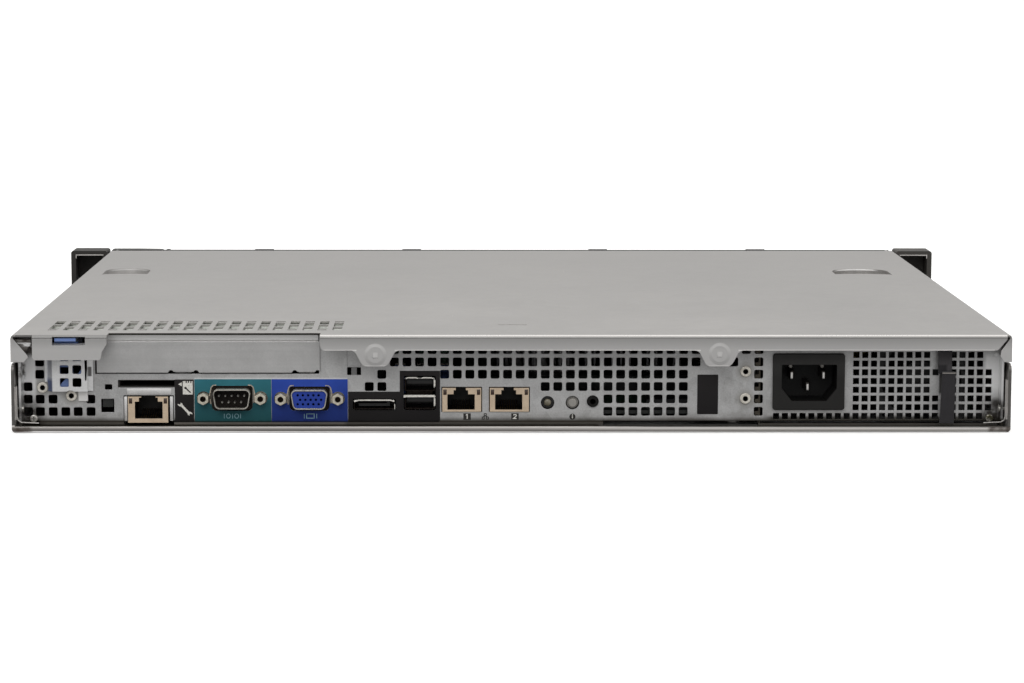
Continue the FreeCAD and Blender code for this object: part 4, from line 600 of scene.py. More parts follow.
# circuit boards: solder mask with copper lines showing through, vias and bare pads
def board(name, mask, line):
    k = Mat(name, Specular_IOR_Level=0.5, Coat_Weight=0.35, Coat_Roughness=0.2)
    cells = k.voronoi(160, feature="F1", out="Color", metric="CHEBYCHEV")
    lines = k.voronoi(330, feature="DISTANCE_TO_EDGE", rand=0.75)
    t = k.span(lines, 0.02, 0.07, 1.0, 0.0)
    bus = k.span(k.wave(260, axis="DIAGONAL", profile="TRI"), 0.72, 0.8, 0.0, 0.8)
    area = k.span(k.noise(28, 2), 0.5, 0.56, 0.0, 1.0)
    t = k.math("MAXIMUM", t, k.math("MULTIPLY", bus, area), clamp=True)
    col = k.mix(k.math("MULTIPLY", t, 0.6), mask, line)
    col = k.mix(k.span(k.noise(70, 3), 0.4, 0.7, 0.0, 0.35), col, tuple(x * 0.6 for x in mask[:3]) + (1.0,))
    via = k.voronoi(620, feature="F1", rand=0.9)
    spot = k.math("MULTIPLY", k.span(via, 0.16, 0.12, 0.0, 1.0), k.span(k.noise(40, 2), 0.5, 0.55, 0.0, 1.0), clamp=True)
    col = k.mix(spot, col, lin(196, 176, 120))
    # painted shade: the board darkens towards its rear edge
    col = k.mix(k.span(k.axis("Y"), (26.0 - MID) * MM, (52.0 - MID) * MM, 0.97, 0.0), col, lin(15, 15, 15))
    h = k.math("ADD", k.math("MULTIPLY", t, 0.4), k.math("MULTIPLY", spot, 0.6))
    return k.done(col, k.span(k.noise(200, 3), 0.3, 0.7, 0.3, 0.46), k.bump(h, 0.3, 0.00008))


M["pcb"] = board("board_green", lin(22, 84, 46), lin(44, 122, 70))
M["pcb_dark"] = board("memory_green", lin(18, 66, 40), lin(38, 104, 62))

def placed(name, base, groups, tops=()):
    """Parts told apart by their places on a board: groups are (rectangles in x and y, colour), tops are (rectangles, height, colour)."""
    k = Mat(name, Specular_IOR_Level=0.5)
    g = k.noise(500, 4, 0.6)
    col = k.ramp(g, (0.35, tuple(c * 0.8 for c in base[:3]) + (1.0,)), (0.65, base))
    spot = lambda rects: k.any(*[k.math("MULTIPLY", k.band("X", x0 - 0.3, x1 + 0.3), k.band("Y", y0 - 0.3, y1 + 0.3)) for x0, x1, y0, y1 in rects])
    for rects, tint in groups:
        col = k.mix(spot(rects), col, tint)
    for rects, z, tint in tops:
        col = k.mix(k.math("MULTIPLY", spot(rects), k.span(k.axis("Z"), (z - 0.15) * MM, (z - 0.05) * MM, 0.0, 1.0)), col, tint)
    col = k.mix(k.span(g, 0.35, 0.7, 0.0, 0.3), col, lin(14, 14, 14))
    rib = k.wave(90, axis="X", profile="SIN")
    return k.done(col, k.span(g, 0.3, 0.7, 0.32, 0.6), k.bump(k.math("ADD", g, k.math("MULTIPLY", rib, 0.2)), 0.12, 0.0002))


CANS = [(86.8, 101.2, 56.8, 111.2)]
CANS2 = [(-127.0, -94.0, 147.0, 153.0)]
M["parts"] = placed("board_parts", lin(40, 40, 42), (
    ([(-12, 84, 70, 84)], lin(30, 30, 32)), ([(86, 98, 184, 196)], lin(196, 190, 176)), ([(-134, -96, 176, 186)], lin(48, 66, 118)),
    ([(-118, -94, 110, 134)], lin(74, 74, 76)), (CANS + CANS2, lin(38, 42, 62))),
    ((CANS, 17.5, lin(176, 175, 171)), (CANS2, 16.0, lin(176, 175, 171))))
M["sockets"] = placed("socket_plastic", lin(36, 36, 38), (([(-53.2, -46.8, 59, 198), (-33.2, -26.8, 59, 198)], lin(60, 84, 150)),),
                      (([(-64, -26, 59, 63), (-64, -26, 194, 198)], 21.4, lin(196, 192, 182)),))
SUPPLY_CANS = ((120, 70, 9, 32.6), (142, 70, 9, 32.6), (120, 92, 6, 28.6), (136, 92, 6, 28.6), (200, 120, 7, 30.6), (200, 140, 7, 30.6))
M["supply_parts"] = placed("supply_parts", lin(34, 60, 44), (
    ([(x - r, x + r, y - r, y + r) for x, y, r, z in SUPPLY_CANS], lin(40, 40, 46)), ([(155, 190, 105, 140)], lin(170, 150, 60)), ([(160, 185, 150, 180), (115, 140, 150, 175)], lin(150, 120, 70)),
    ([(150, 153, 100, 185)], lin(120, 118, 112)), ([(115, 145, 105, 135), (160, 205, 54, 92)], lin(60, 58, 60)), ([(116, 134, 205, 216)], lin(196, 190, 176))),
    [([(x - r, x + r, y - r, y + r)], z, lin(172, 171, 168)) for x, y, r, z in SUPPLY_CANS])

# extruded fins
k = Mat("heatsink_metal", metallic=1.0)
g = k.noise(1.0, 3, 0.5, k.mapped(scale=(1200, 12, 300)))
col = k.ramp(g, (0.35, (0.30, 0.30, 0.31, 1)), (0.65, (0.50, 0.50, 0.51, 1)))
col = k.mix(k.span(k.axis("Y"), (60.0 - MID) * MM, (150.0 - MID) * MM, 0.7, 0.0), col, (0.07, 0.07, 0.07, 1.0))
M["sink"] = k.done(col, k.span(g, 0.3, 0.7, 0.28, 0.46), k.bump(g, 0.15, 0.0001))

# cast drive housing, plated lid
k = Mat("drive_metal", metallic=0.9)
g = k.noise(420, 5, 0.65)
q = k.noise(14, 3, 0.5)
col = k.ramp(k.math("ADD", k.math("MULTIPLY", g, 0.6), k.math("MULTIPLY", q, 0.4)), (0.35, (0.34, 0.345, 0.35, 1)), (0.65, (0.58, 0.585, 0.59, 1)))
M["drive"] = k.done(col, k.span(g, 0.3, 0.7, 0.34, 0.55), k.bump(g, 0.2, 0.0002))

# paper label with a light grid of rules, no lettering
k = Mat("paper_label", Specular_IOR_Level=0.35)
g = k.noise(800, 4, 0.6)
rule = k.math("MAXIMUM", k.span(k.wave(22, axis="Y"), 0.985, 0.995, 0.0, 0.35), k.span(k.wave(14, axis="X"), 0.99, 0.998, 0.0, 0.35))
col = k.mix(rule, k.ramp(g, (0.3, lin(212, 211, 206)), (0.7, lin(228, 227, 223))), lin(90, 92, 98))
M["paper"] = k.done(col, k.span(g, 0.3, 0.7, 0.5, 0.62), k.bump(g, 0.06, 0.0001))

# strap: close-napped webbing
k = Mat("strap_weave", Specular_IOR_Level=0.25, Sheen_Weight=0.15, Sheen_Roughness=0.5)
wa = k.wave(1500, axis="Z", distort=0.8, detail=1.5)
wb = k.wave(1500, axis="X", distort=0.8, detail=1.5)
w = k.math("MULTIPLY", wa, wb)
f = k.noise(2600, 4, 0.7)
v = k.math("ADD", k.math("MULTIPLY", w, 0.25), k.math("MULTIPLY", f, 0.75))
col = k.ramp(v, (0.25, lin(30, 29, 31)), (0.75, lin(62, 60, 63)))
col = k.mix(k.span(k.axis("Z"), 25.4 * MM, 26.4 * MM, 0.0, 0.55), col, lin(84, 81, 83))
# painted shadow under the loop at the left
col = k.mix(k.math("MULTIPLY", k.math("MULTIPLY", k.band("Z", 25.4, 28.4, 0.5), k.band("X", 185.5, 190.0, 0.6)), 0.7), col, lin(20, 19, 22))
# painted highlight along the edge of the fold
col = k.mix(k.math("MULTIPLY", k.band("Z", 24.72, 25.2, 0.08), k.band("Y", 5.0, 7.2, 0.1)), col, lin(140, 136, 132))
M["strap"] = k.done(col, k.span(f, 0.3, 0.7, 0.7, 0.9), k.bump(w, 0.2, 0.00012, k.bump(f, 0.25, 0.00015)))

# sleeved wires
k = Mat("cable_sleeve", Specular_IOR_Level=0.4)
wa = k.voronoi(900, feature="SMOOTH_F1")
f = k.noise(300, 3)
col = k.ramp(k.math("ADD", wa, f), (0.4, lin(18, 18, 19)), (1.1, lin(54, 54, 56)))
M["cable"] = k.done(col, k.span(f, 0.3, 0.7, 0.45, 0.65), k.bump(wa, 0.5, 0.0004))

# ink
k = Mat("print_white", Specular_IOR_Level=0.4)
g = k.noise(1400, 3, 0.6)
col = k.ramp(g, (0.3, lin(190, 188, 182)), (0.62, lin(226, 224, 218)))
M["white"] = k.done(col, k.span(g, 0.3, 0.7, 0.45, 0.6), k.bump(g, 0.05, 0.00005))
k = Mat("print_tint", Specular_IOR_Level=0.3)
g = k.noise(1400, 3, 0.6)
col = k.ramp(g, (0.3, lin(104, 140, 150)), (0.65, lin(142, 176, 186)))
M["tint"] = k.done(col, k.span(g, 0.3, 0.7, 0.45, 0.6), k.bump(g, 0.05, 0.00005))
k = Mat("print_dark", Specular_IOR_Level=0.4)
g = k.noise(1400, 3, 0.6)
col = k.ramp(g, (0.3, lin(28, 26, 25)), (0.7, lin(52, 49, 47)))
M["dark"] = k.done(col, k.span(g, 0.3, 0.7, 0.45, 0.6), k.bump(g, 0.05, 0.00005))

WEAR = {
    "top_cover": "cover", "cover_latch": "latch", "chassis_base": "chassis", "rear_panel": "panel", "latch_guide": "guide", "slot_filler": "filler",
    "chassis_fasteners": "screw", "clinch_nuts": "eyelet",
    "serial_shell": "dshell", "serial_insert": "serial", "serial_pins": "serial_pins", "video_shell": "dshell", "video_insert": "video", "port_jackscrews": "jackscrew",
    "usb_shells": "receptacle", "usb_tongues": "black", "storage_port_shell": "receptacle", "storage_port_tongue": "black",
    "network_jacks": "cream", "network_contacts": "gold", "card_slot": "block",
    "id_led": "led", "id_button": "button", "id_jack": "jack_black",
    "port_label_black": "lab_black", "port_label_teal": "lab_teal", "port_label_blue": "lab_blue",
    "cord_strap": "strap", "power_inlet": "inlet", "power_inlet_pins": "pins",
    "psu_case": "supply", "psu_board": "supply_parts", "psu_fan_frame": "fan", "psu_fan_rotor": "fan",
    "fan_frames": "fan", "fan_rotor_left": "fan", "fan_rotor_middle": "fan", "fan_rotor_right": "fan",
    "motherboard": "pcb", "board_components": "parts", "cpu_heatsink": "sink", "memory_sockets": "sockets", "memory_modules": "pcb_dark",
    "riser_card": "pcb", "management_card": "pcb_dark",
    "hard_drive_left": "drive", "hard_drive_right": "drive", "drive_carrier_left": "carrier", "drive_carrier_right": "carrier",
    "optical_drive": "supply", "optical_tray": "carrier", "eject_button": "carrier",
    "front_panel": "fascia", "power_button": "button", "rack_ears": "ear", "power_harness": "cable",
}
for name, o in N.items():
    o.data.materials.clear()
    o.data.materials.append(M[WEAR[name]])


def soften(name, width, angle=40, segments=2):
    o = N[name]
    m = o.modifiers.new("soft_edges", "BEVEL")
    m.width = width * MM
    m.segments = segments
    m.limit_method = "ANGLE"
    m.angle_limit = math.radians(angle)
    m.harden_normals = False
    m.use_clamp_overlap = True


# ---------------------------------------------------------------- mesh helpers
def finish_mesh(name, bm, mat, body="chassis", smooth=None):
    bmesh.ops.recalc_face_normals(bm, faces=bm.faces[:])
    me = bpy.data.meshes.new(name)
    bm.to_mesh(me)
    bm.free()
    o = bpy.data.objects.new(name, me)
    bpy.context.scene.collection.objects.link(o)
    me.materials.append(mat)
    if smooth is not None:
        me.shade_smooth()
        me.set_sharp_from_angle(angle=math.radians(smooth))
    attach(o, body)
    return o


def slab(bm, pts, y0, y1):
    """A polygon in the x-z plane (mm) made into a plate from y0 to y1."""
    a = [bm.verts.new(P(x, y0, z)) for x, z in pts]
    b = [bm.verts.new(P(x, y1, z)) for x, z in pts]
    bm.faces.new(a)
    bm.faces.new(b[::-1])
    n = len(pts)
    for i in range(n):
        j = (i + 1) % n
        bm.faces.new((a[j], a[i], b[i], b[j]))


def stroke(bm, pts, w, y0, y1, closed=False):
    """A line of width w along pts, as a plate with mitred corners."""
    n = len(pts)
    left, right = [], []
    for i in range(n):
        p = Vector(pts[i])
        d = []
        if closed or i > 0:
            d.append((p - Vector(pts[i - 1])).normalized())
        if closed or i < n - 1:
            d.append((Vector(pts[(i + 1) % n]) - p).normalized())
        t = (d[0] + d[-1]).normalized()
        nv = Vector((-t.y, t.x))
        k = w / 2 / max(0.35, t.dot(d[0]))
        left.append(p + nv * k)
        right.append(p - nv * k)
    vs = [[bm.verts.new(P(q.x, y, q.y)) for q in line] for line in (left, right) for y in (y0, y1)]
    lf, lb, rf, rb = vs
    for i in range(n if closed else n - 1):
        j = (i + 1) % n
        bm.faces.new((lf[i], lf[j], rf[j], rf[i]))
        bm.faces.new((lb[i], rb[i], rb[j], lb[j]))
        bm.faces.new((lf[i], lb[i], lb[j], lf[j]))
        bm.faces.new((rf[i], rf[j], rb[j], rb[i]))
    if not closed:
        bm.faces.new((lf[0], rf[0], rb[0], lb[0]))
        bm.faces.new((lf[-1], lb[-1], rb[-1], rf[-1]))


def ring(cx, cz, r, n=24, r2=None):
    return [(cx + r * math.cos(2 * math.pi * i / n), cz + (r2 or r) * math.sin(2 * math.pi * i / n)) for i in range(n)]


def block(bm, x0, x1, y0, y1, z0, z1, r=0.0, seg=2):
    """A block with rounded edges, added to bm."""
    t = bmesh.new()
    v = [t.verts.new(P(x, y, z)) for x in (x0, x1) for y in (y0, y1) for z in (z0, z1)]
    for f in ((0, 1, 3, 2), (4, 6, 7, 5), (0, 4, 5, 1), (2, 3, 7, 6), (0, 2, 6, 4), (1, 5, 7, 3)):
        t.faces.new([v[i] for i in f])
    if r > 0:
        bmesh.ops.bevel(t, geom=t.edges[:], offset=r * MM, segments=seg, profile=0.5, affect="EDGES")
    me = bpy.data.meshes.new("tmp")
    t.to_mesh(me)
    t.free()
    bm.from_mesh(me)
    bpy.data.meshes.remove(me)


# ---------------------------------------------------------------- prints on the label plates and the panel
LY = (11.83, 11.86)  # front of a label
bm = bmesh.new()
# serial: three bars and two rings
for x in (-125.9, -122.3, -118.8):
    stroke(bm, [(x, 4.3), (x, 6.4)], 0.3, *LY)
for x in (-124.1, -120.5):
    stroke(bm, ring(x, 5.35, 0.85, 20, 0.95), 0.3, *LY, closed=True)
# monitor: a screen between two bars
for x in (-90.9, -85.5):
    stroke(bm, [(x, 4.3), (x, 6.4)], 0.3, *LY)
stroke(bm, [(-89.9, 4.4), (-86.6, 4.4), (-86.6, 6.3), (-89.9, 6.3)], 0.32, *LY, closed=True)
finish_mesh("port_signs", bm, M["tint"])

bm = bmesh.new()
# a wrench and a card on the black plate beside the card slot
slab(bm, [(-144.7, 9.55), (-144.0, 10.25), (-141.3, 7.35), (-142.0, 6.65)], *LY)
slab(bm, [(-145.0, 11.35), (-144.2, 10.9), (-144.0, 10.25), (-144.7, 9.55), (-145.5, 9.7), (-146.2, 10.35), (-146.1, 10.75), (-145.3, 10.4), (-144.85, 10.85)], *LY)
slab(bm, [(-141.0, 5.5), (-141.8, 5.95), (-142.0, 6.65), (-141.3, 7.35), (-140.5, 7.2), (-139.8, 6.5), (-139.9, 6.1), (-140.7, 6.45), (-141.15, 6.0)], *LY)
card = [(-143.9, 14.9), (-139.6, 14.9), (-139.6, 20.8), (-140.1, 20.8), (-140.1, 20.0), (-140.6, 20.0), (-140.6, 20.8), (-141.1, 20.8), (-141.1, 20.0), (-141.6, 20.0), (-141.6, 20.8), (-142.1, 20.8), (-142.1, 20.0), (-142.6, 20.0), (-142.6, 20.8), (-143.9, 20.8)]
slab(bm, card, *LY)
slab(bm, [(-145.9, 19.4), (-144.3, 18.5), (-144.3, 20.3)], *LY)
finish_mesh("service_signs", bm, M["white"])
bm = bmesh.new()
slab(bm, [(-142.9, 17.6), (-142.5, 18.0), (-140.3, 15.9), (-140.7, 15.5)], 11.80, 11.835)
slab(bm, ring(-142.7, 17.8, 0.55, 12), 11.80, 11.835)
finish_mesh("service_sign_inset", bm, M["dark"])

bm = bmesh.new()
PY = (11.96, 12.01)
for x in (-21.3, -0.3):
    slab(bm, [(x, 3.6), (x + 3.25, 3.6), (x + 3.25, 6.5), (x, 6.5)], *PY)
for x, z in ((-12.6, 4.4), (-10.8, 4.4), (-11.7, 5.9)):
    stroke(bm, [(x - 0.45, z - 0.45), (x + 0.45, z - 0.45), (x + 0.45, z + 0.45), (x - 0.45, z + 0.45)], 0.35, *PY, closed=True)
stroke(bm, [(-12.6, 5.0), (-11.7, 5.35), (-10.8, 5.0)], 0.3, *PY)
slab(bm, ring(26.5, 5.0, 1.35), *PY)
finish_mesh("panel_prints", bm, M["dark"])
bm = bmesh.new()
NY = (11.93, 11.97)
stroke(bm, [(-20.2, 5.7), (-19.6, 6.0), (-19.6, 4.1)], 0.42, *NY)
stroke(bm, [(0.65, 5.6), (0.95, 5.95), (1.6, 5.95), (1.9, 5.6), (1.8, 5.2), (0.65, 4.2), (2.0, 4.2)], 0.4, *NY)
stroke(bm, [(26.5, 4.3), (26.5, 5.25)], 0.42, *NY)
slab(bm, ring(26.5, 5.75, 0.27, 12), *NY)
finish_mesh("panel_numbers", bm, M["white"])

# ---------------------------------------------------------------- network jack windows and shields
bm = bmesh.new()
for x0, x1, z1 in ((-30.5, -13.5, 17.8), (-9.7, 7.4, 17.8), (-167.9, -150.4, 14.0)):
    for x in (x0 + 1.15, x1 - 1.15):
        block(bm, x - 0.7, x + 0.7, 11.45, 12.25, z1 - 3.05, z1 - 0.75, 0.18)
finish_mesh("network_leds", bm, M["led_dark"], smooth=50)

# pressed shield around the management jack: two side cheeks and a plate over the top
bm = bmesh.new()
for x0, x1 in ((-169.55, -168.2), (-149.6, -148.2)):
    block(bm, x0, x1, 11.6, 13.2, 3.2, 14.0, 0.22)
block(bm, -168.3, -149.0, 11.8, 12.05, 14.75, 17.5, 0.08)
finish_mesh("jack_shield", bm, M["shield"], smooth=40)

# perforated screen under the cover's vents, on turned-up edges
bm = bmesh.new()
block(bm, -205.0, -72.5, 19.0, 54.0, 40.5, 40.8, 0.1)
for y0, y1 in ((19.0, 20.0), (53.0, 54.0)):
    block(bm, -205.0, -72.5, y0, y1, 40.5, 41.48, 0.1)
for x in (-205.0, -73.5):
    block(bm, x, x + 1.0, 19.0, 54.0, 40.5, 41.48, 0.1)
finish_mesh("vent_screen", bm, M["screen"], body="cover", smooth=40)

# thin steel edge inside the top of each rack ear, turned down at its outer end
bm = bmesh.new()
for sx in (-1, 1):
    pts = [(223.2, 38.35), (223.2, 37.85), (238.2, 37.85), (238.2, 36.2), (238.7, 36.2), (238.7, 38.35)]
    slab(bm, [(sx * x, z) for x, z in pts], 393.75, 394.6)
finish_mesh("ear_liners", bm, M["liner"])

# low ridge along the front's roof at one end, in a long and a short piece
bm = bmesh.new()
slab(bm, [(-219.2, 38.95), (-190.8, 38.95), (-190.8, 40.0), (-191.5, 40.3), (-204.0, 40.5), (-218.4, 40.5), (-219.2, 40.1)], 399.4, 407.6)
slab(bm, [(-189.1, 38.95), (-186.9, 38.95), (-186.9, 39.95), (-187.4, 40.25), (-188.6, 40.3), (-189.1, 40.05)], 399.4, 407.6)
finish_mesh("roof_ridge", bm, M["fascia"])

# turned rims inside the two lower rear corners, joined to the side walls
bm = bmesh.new()
for sx, top in ((-1, 19.8), (1, 22.8)):
    pts = [(sx * 214.98, top), (sx * 214.9, 6.6), (sx * 214.4, 4.9), (sx * 213.0, 4.1), (sx * 205.5, 3.75)]
    stroke(bm, pts, 0.36, 1.9, 2.5)
    stroke(bm, [(sx * 215.5, top - 0.3), (sx * 215.45, 5.2)], 0.8, 2.1, 2.4)
finish_mesh("corner_rims", bm, M["liner"])

# turned lips on the mouths of the receptacles, in a near-white plate that is partly a painted highlight
bm = bmesh.new()
RY = (10.55, 10.98)
stroke(bm, [(-47.1, 13.75), (-46.9, 14.35), (-34.2, 14.35), (-33.7, 13.9)], 0.95, *RY)
stroke(bm, [(-33.85, 13.3), (-33.85, 10.2)], 0.62, *RY)
stroke(bm, [(-33.85, 21.4), (-33.85, 18.6)], 0.62, *RY)
stroke(bm, [(-46.3, 22.05), (-45.6, 22.45), (-41.9, 22.45), (-41.2, 22.1)], 0.42, *RY)
stroke(bm, [(-39.6, 22.1), (-38.9, 22.45), (-35.2, 22.45), (-34.6, 22.05)], 0.42, *RY)
stroke(bm, [(-69.0, 11.9), (-67.0, 12.55), (-53.2, 12.55), (-51.5, 11.95)], 0.5, *RY)
stroke(bm, [(-51.3, 10.9), (-51.3, 8.6)], 0.25, *RY)
finish_mesh("receptacle_lips", bm, M["lip"])

# turned edges of the connector plates, round the shells' openings
bm = bmesh.new()
for cx, cz in ((-122.4, 13.3), (-88.6, 13.1)):
    for pts in (((-9.9, 0.9), (-9.45, 3.2), (-9.1, 4.7), (-8.3, 5.65), (-6.9, 5.75)), ((6.9, 5.75), (8.3, 5.65), (9.2, 4.8), (9.75, 2.6), (9.9, 0.6), (9.6, -1.6)), ((-9.6, -0.4), (-9.3, -2.6))):
        stroke(bm, [(cx + x, cz + z) for x, z in pts], 0.42, 11.70, 11.87)
finish_mesh("connector_edges", bm, M["turned"])

# two ribs at the upper edge of the inlet's hollow
bm = bmesh.new()
for x in (121.9, 135.7):
    block(bm, x - 0.75, x + 0.75, 10.35, 16.0, 26.7, 28.5, 0.6, 4)
finish_mesh("inlet_ribs", bm, M["rib"], smooth=60)

# lamps in the front panel, the sign on the power button
def lathe(bm, x, z, prof, n=20):
    """A turned shape on an axis along y: prof rows are (y, radius), closed at both ends."""
    rows = [[bm.verts.new(P(x + r * math.cos(2 * math.pi * i / n), y, z + r * math.sin(2 * math.pi * i / n))) for i in range(n)] for y, r in prof]
    for a, b in zip(rows, rows[1:]):
        for i in range(n):
            j = (i + 1) % n
            bm.faces.new((a[i], a[j], b[j], b[i]))
    bm.faces.new(rows[0][::-1])
    bm.faces.new(rows[-1])


bm = bmesh.new()
for z in (8.0, 13.0, 18.0):
    lathe(bm, 210.0, z, [(408.4, 0.92), (410.7, 0.92), (411.0, 0.85), (411.2, 0.62), (411.28, 0.25)])
finish_mesh("front_lamps", bm, M["front_lamps"], smooth=40)
bm = bmesh.new()
a0 = math.radians(38)
arc = [(196.0 + 1.9 * math.sin(t), 13.0 + 1.9 * math.cos(t)) for t in [a0 + (2 * math.pi - 2 * a0) * i / 28 for i in range(29)]]
stroke(bm, arc, 0.42, 411.58, 411.64)
stroke(bm, [(196.0, 13.4), (196.0, 15.5)], 0.42, 411.58, 411.64)
finish_mesh("power_sign", bm, M["dark"], body="start_button")

# paper discs on the fan hubs, paper labels on the drives
for body, x, y, z, r in (("fan_left", -130.0, 207.0, 21.0, 7.6), ("fan_middle", -40.0, 207.0, 21.0, 7.6), ("fan_right", 50.0, 207.0, 21.0, 7.6)):
    bm = bmesh.new()
    lathe(bm, x, z, [(y + 0.02, r), (y - 0.05, r), (y - 0.08, r - 0.15), (y - 0.08, 2.2)], 36)
    finish_mesh("hub_label_" + body.split("_")[1], bm, M["paper"], body=body)
for side, xc in (("left", -157.75), ("right", -50.75)):
    t = bmesh.new()
    out = []
    for cx, cy, a in ((xc + 34, 372, 0), (xc - 34, 372, 90), (xc - 34, 290, 180), (xc + 34, 290, 270)):
        out += [(cx + 3 * math.cos(math.radians(a + 15 * i)), cy + 3 * math.sin(math.radians(a + 15 * i))) for i in range(7)]
    lo = [t.verts.new(P(x, y, 30.38)) for x, y in out]
    hi = [t.verts.new(P(x, y, 30.47)) for x, y in out]
    t.faces.new(lo[::-1])
    t.faces.new(hi)
    for i in range(len(out)):
        j = (i + 1) % len(out)
        t.faces.new((lo[i], lo[j], hi[j], hi[i]))
    finish_mesh("drive_label_" + side, t, M["paper"], body="drive_" + side)

# ---------------------------------------------------------------- power harness: sleeved wires on one line
route = [(125, 225, 18), (125, 244, 18), (92, 244, 14), (92, 196, 14)]
cu = bpy.data.curves.new("harness_line", "CURVE")
cu.dimensions = "3D"
sp = cu.splines.new("NURBS")
sp.points.add(len(route) - 1)
for q, a in zip(sp.points, route):
    q.co = (*P(*a), 1.0)
sp.order_u = 3
sp.use_endpoint_u = True
sp.resolution_u = 24
line = bpy.data.objects.new("harness_line", cu)
bpy.context.scene.collection.objects.link(line)
bpy.context.view_layer.update()
lm = bpy.data.meshes.new_from_object(line)
path = [v.co.copy() for v in lm.vertices]
bpy.data.meshes.remove(lm)
bpy.data.objects.remove(line)
bpy.data.curves.remove(cu)
if (path[0] - P(*route[0])).length > (path[-1] - P(*route[0])).length:
    path.reverse()


def wires(bm, path, n, spread, rad, turns, sides=8):
    """n wires laid round a line, with a slow twist; parallel frames along it."""
    tang = [(path[min(i + 1, len(path) - 1)] - path[max(i - 1, 0)]).normalized() for i in range(len(path))]
    u = tang[0].cross(Vector((0, 0, 1))).normalized()
    frames = []
    for t in tang:
        u = (u - t * u.dot(t)).normalized()
        frames.append((u.copy(), t.cross(u)))
    for w in range(n + 1):
        rows = []
        for i, (q, (a, b)) in enumerate(zip(path, frames)):
            ph = 2 * math.pi * (w / n + turns * i / (len(path) - 1))
            c = q + (a * math.cos(ph) + b * math.sin(ph)) * spread * MM if w < n else q
            rows.append([bm.verts.new(c + (a * math.cos(2 * math.pi * m / sides) + b * math.sin(2 * math.pi * m / sides)) * rad * MM) for m in range(sides)])
        for r0, r1 in zip(rows, rows[1:]):
            for m in range(sides):
                m2 = (m + 1) % sides
                bm.faces.new((r0[m], r0[m2], r1[m2], r1[m]))
        bm.faces.new(rows[0][::-1])
        bm.faces.new(rows[-1])


bm = bmesh.new()
wires(bm, path, 6, 1.93, 0.95, 0.8)
har = finish_mesh("power_harness_wires", bm, M["wires"], smooth=60)
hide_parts("power_harness")
length = sum((b - a).length for a, b in zip(path, path[1:]))
print("harness length", round(length, 5))

# ---------------------------------------------------------------- cord strap
def ribbon(bm, path, seg=6):
    """A flat strap: path rows are (x centre, y, z, width, thickness), with rounded long edges."""
    rings = []
    n = len(path)
    for i, (x, y, z, w, t) in enumerate(path):
        a, b = path[max(i - 1, 0)], path[min(i + 1, n - 1)]
        d = Vector((0, b[1] - a[1], b[2] - a[2])).normalized()
        nv = Vector((0, d.z, -d.y))
        pts = []
        for k in range(seg + 1):
            pts.append((-w / 2 + w * k / seg, -t / 2 if 0 < k < seg else -t / 4))
        for k in range(seg, -1, -1):
            pts.append((-w / 2 + w * k / seg, t / 2 if 0 < k < seg else t / 4))
        rings.append([bm.verts.new(P(x + u, y + nv.y * v, z + nv.z * v)) for u, v in pts])
    m = len(rings[0])
    for i in range(n - 1):
        for k in range(m):
            j = (k + 1) % m
            bm.faces.new((rings[i][k], rings[i][j], rings[i + 1][j], rings[i + 1][k]))
    bm.faces.new(rings[0][::-1])
    bm.faces.new(rings[-1])


bm = bmesh.new()
up = [(189.25, 11.9, 38.9, 6.0, 1.2), (189.25, 10.2, 37.6, 6.05, 1.2), (189.25, 9.2, 36.2, 6.1, 1.2), (189.25, 8.8, 34.0, 6.1, 1.2)]
up += [(189.25 + 0.05 * math.sin(i * 1.9), 8.68 - 0.02 * i, 32.0 - 1.25 * i, 6.05 + 0.06 * math.sin(i * 2.3), 1.15) for i in range(6)]
up.append((189.25, 8.55, 24.6, 6.0, 1.1))
ribbon(bm, up)
lo = []
for i in range(19):
    z = 25.5 - 1.26 * i
    t = (25.5 - z) / 22.8
    lo.append((190.9 - 0.72 * t, 7.36 + 0.05 * math.sin(i * 1.3), z, 5.9 + 0.45 * t + 0.06 * math.sin(i * 2.1), 1.2))
ribbon(bm, lo)
# rolled upper hem of the lower strap
hem = [(188.05 + 0.485 * i, 7.02 - 0.22 * math.sin(math.pi * i / 12), 24.75 + 0.05 * math.sin(i * 1.7)) for i in range(13)]
hv = [[bm.verts.new(P(x, y + 0.34 * math.cos(2 * math.pi * m / 10), z + 0.34 * math.sin(2 * math.pi * m / 10))) for m in range(10)] for x, y, z in hem]
for r0, r1 in zip(hv, hv[1:]):
    for m in range(10):
        bm.faces.new((r0[m], r0[(m + 1) % 10], r1[(m + 1) % 10], r1[m]))
bm.faces.new(hv[0][::-1])
bm.faces.new(hv[-1])
strap = finish_mesh("cord_strap_webbing", bm, M["strap"], smooth=45)
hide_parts("cord_strap")

# ---------------------------------------------------------------- camera, light, floor
def look(loc, pitch, yaw, roll):
    p, y, r = (math.radians(a) for a in (pitch, yaw, roll))
    d = Vector((math.sin(y) * math.cos(p), math.cos(y) * math.cos(p), -math.sin(p)))
    rt = Vector((math.cos(y), -math.sin(y), 0.0))
    up = rt.cross(d)
    r2 = rt * math.cos(r) + up * math.sin(r)
    u2 = -rt * math.sin(r) + up * math.cos(r)
    m = Matrix((r2, u2, -d)).transposed().to_4x4()
    m.translation = Vector(loc)
    return m


cam = bpy.data.cameras.new("camera")
cam.lens = 107.612
cam.sensor_width = 36.0
cam.clip_start, cam.clip_end = 0.05, 60.0
co = bpy.data.objects.new("camera", cam)
bpy.context.scene.collection.objects.link(co)
co.matrix_world = look((-0.019396, -1.520341, 0.208179), 7.3016, 0.83596, 0.10228)
bpy.context.scene.camera = co

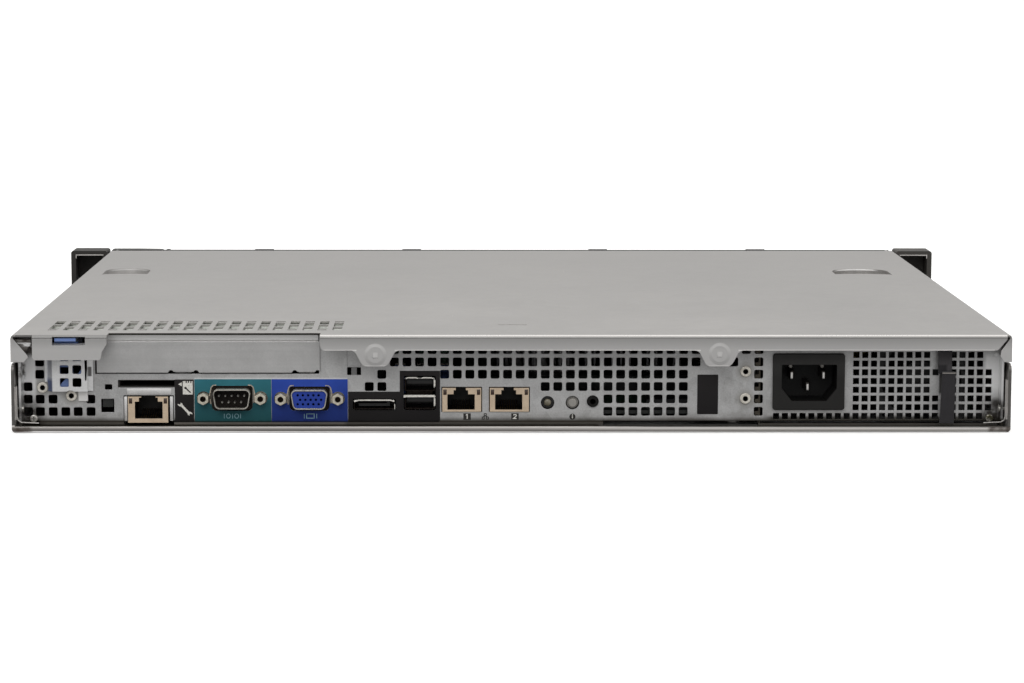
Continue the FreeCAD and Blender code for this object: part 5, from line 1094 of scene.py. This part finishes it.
bm = bmesh.new()
s = 12.0
bm.faces.new([bm.verts.new((x, y, -0.0003)) for x, y in ((-s, -s), (s, -s), (s, s), (-s, s))])
me = bpy.data.meshes.new("floor")
bm.to_mesh(me)
bm.free()
floor = bpy.data.objects.new("floor", me)
bpy.context.scene.collection.objects.link(floor)
k = Mat("floor_paint", rough=0.9, Specular_IOR_Level=0.1, Emission_Color=(1.0, 1.0, 1.0, 1.0), Emission_Strength=0.16)
n = k.noise(3, 2)
me.materials.append(k.done(k.ramp(n, (0.3, (0.90, 0.90, 0.895, 1)), (0.7, (0.92, 0.92, 0.915, 1)))))

floor.visible_diffuse = False
floor.visible_glossy = False

# a plain white tent: bright overhead, dimmer towards the horizon
world = bpy.data.worlds.new("studio")
bpy.context.scene.world = world
world.use_nodes = True
wt = world.node_tree
bg = wt.nodes["Background"]
bg.inputs["Strength"].default_value = 1.0
wc = wt.nodes.new("ShaderNodeTexCoord")
ws = wt.nodes.new("ShaderNodeSeparateXYZ")
wm = wt.nodes.new("ShaderNodeMapRange")
wm.inputs["From Min"].default_value = -1.0
wr = wt.nodes.new("ShaderNodeValToRGB")
wt.links.new(wc.outputs["Generated"], ws.inputs[0])
wt.links.new(ws.outputs["Z"], wm.inputs["Value"])
wt.links.new(wm.outputs["Result"], wr.inputs["Fac"])
wt.links.new(wr.outputs["Color"], bg.inputs["Color"])
SKY = ((-1.0, 1.5), (-0.9, 1.1), (-0.7, 0.2), (-0.25, 0.22), (0.0, 0.50), (0.15, 0.62), (0.5, 0.85), (0.8, 1.5), (1.0, 1.9))
e = wr.color_ramp.elements
while len(e) < len(SKY):
    e.new(1.0)
for i, (z, v) in enumerate(SKY):
    e[i].position = (z + 1) / 2
    e[i].color = (v, v * 0.995, v * 0.985, 1.0)


def area(name, loc, target, size, energy, color=(1, 1, 1)):
    l = bpy.data.lights.new(name, "AREA")
    l.shape = "RECTANGLE"
    l.size, l.size_y = size
    l.energy = energy
    l.color = color
    o = bpy.data.objects.new(name, l)
    bpy.context.scene.collection.objects.link(o)
    d = Vector(target) - Vector(loc)
    o.rotation_mode = "QUATERNION"
    o.rotation_quaternion = d.to_track_quat("-Z", "Y")
    o.location = loc
    return o


area("key", (-0.5, -1.9, 1.3), (0, -0.1, 0.02), (1.6, 0.9), 10.0)
area("fill", (1.4, -1.2, 0.9), (0, -0.1, 0.02), (1.0, 1.0), 3.0)

vs = bpy.context.scene.view_settings
vs.view_transform = "Standard"
vs.look = "None"

bpy.context.view_layer.update()
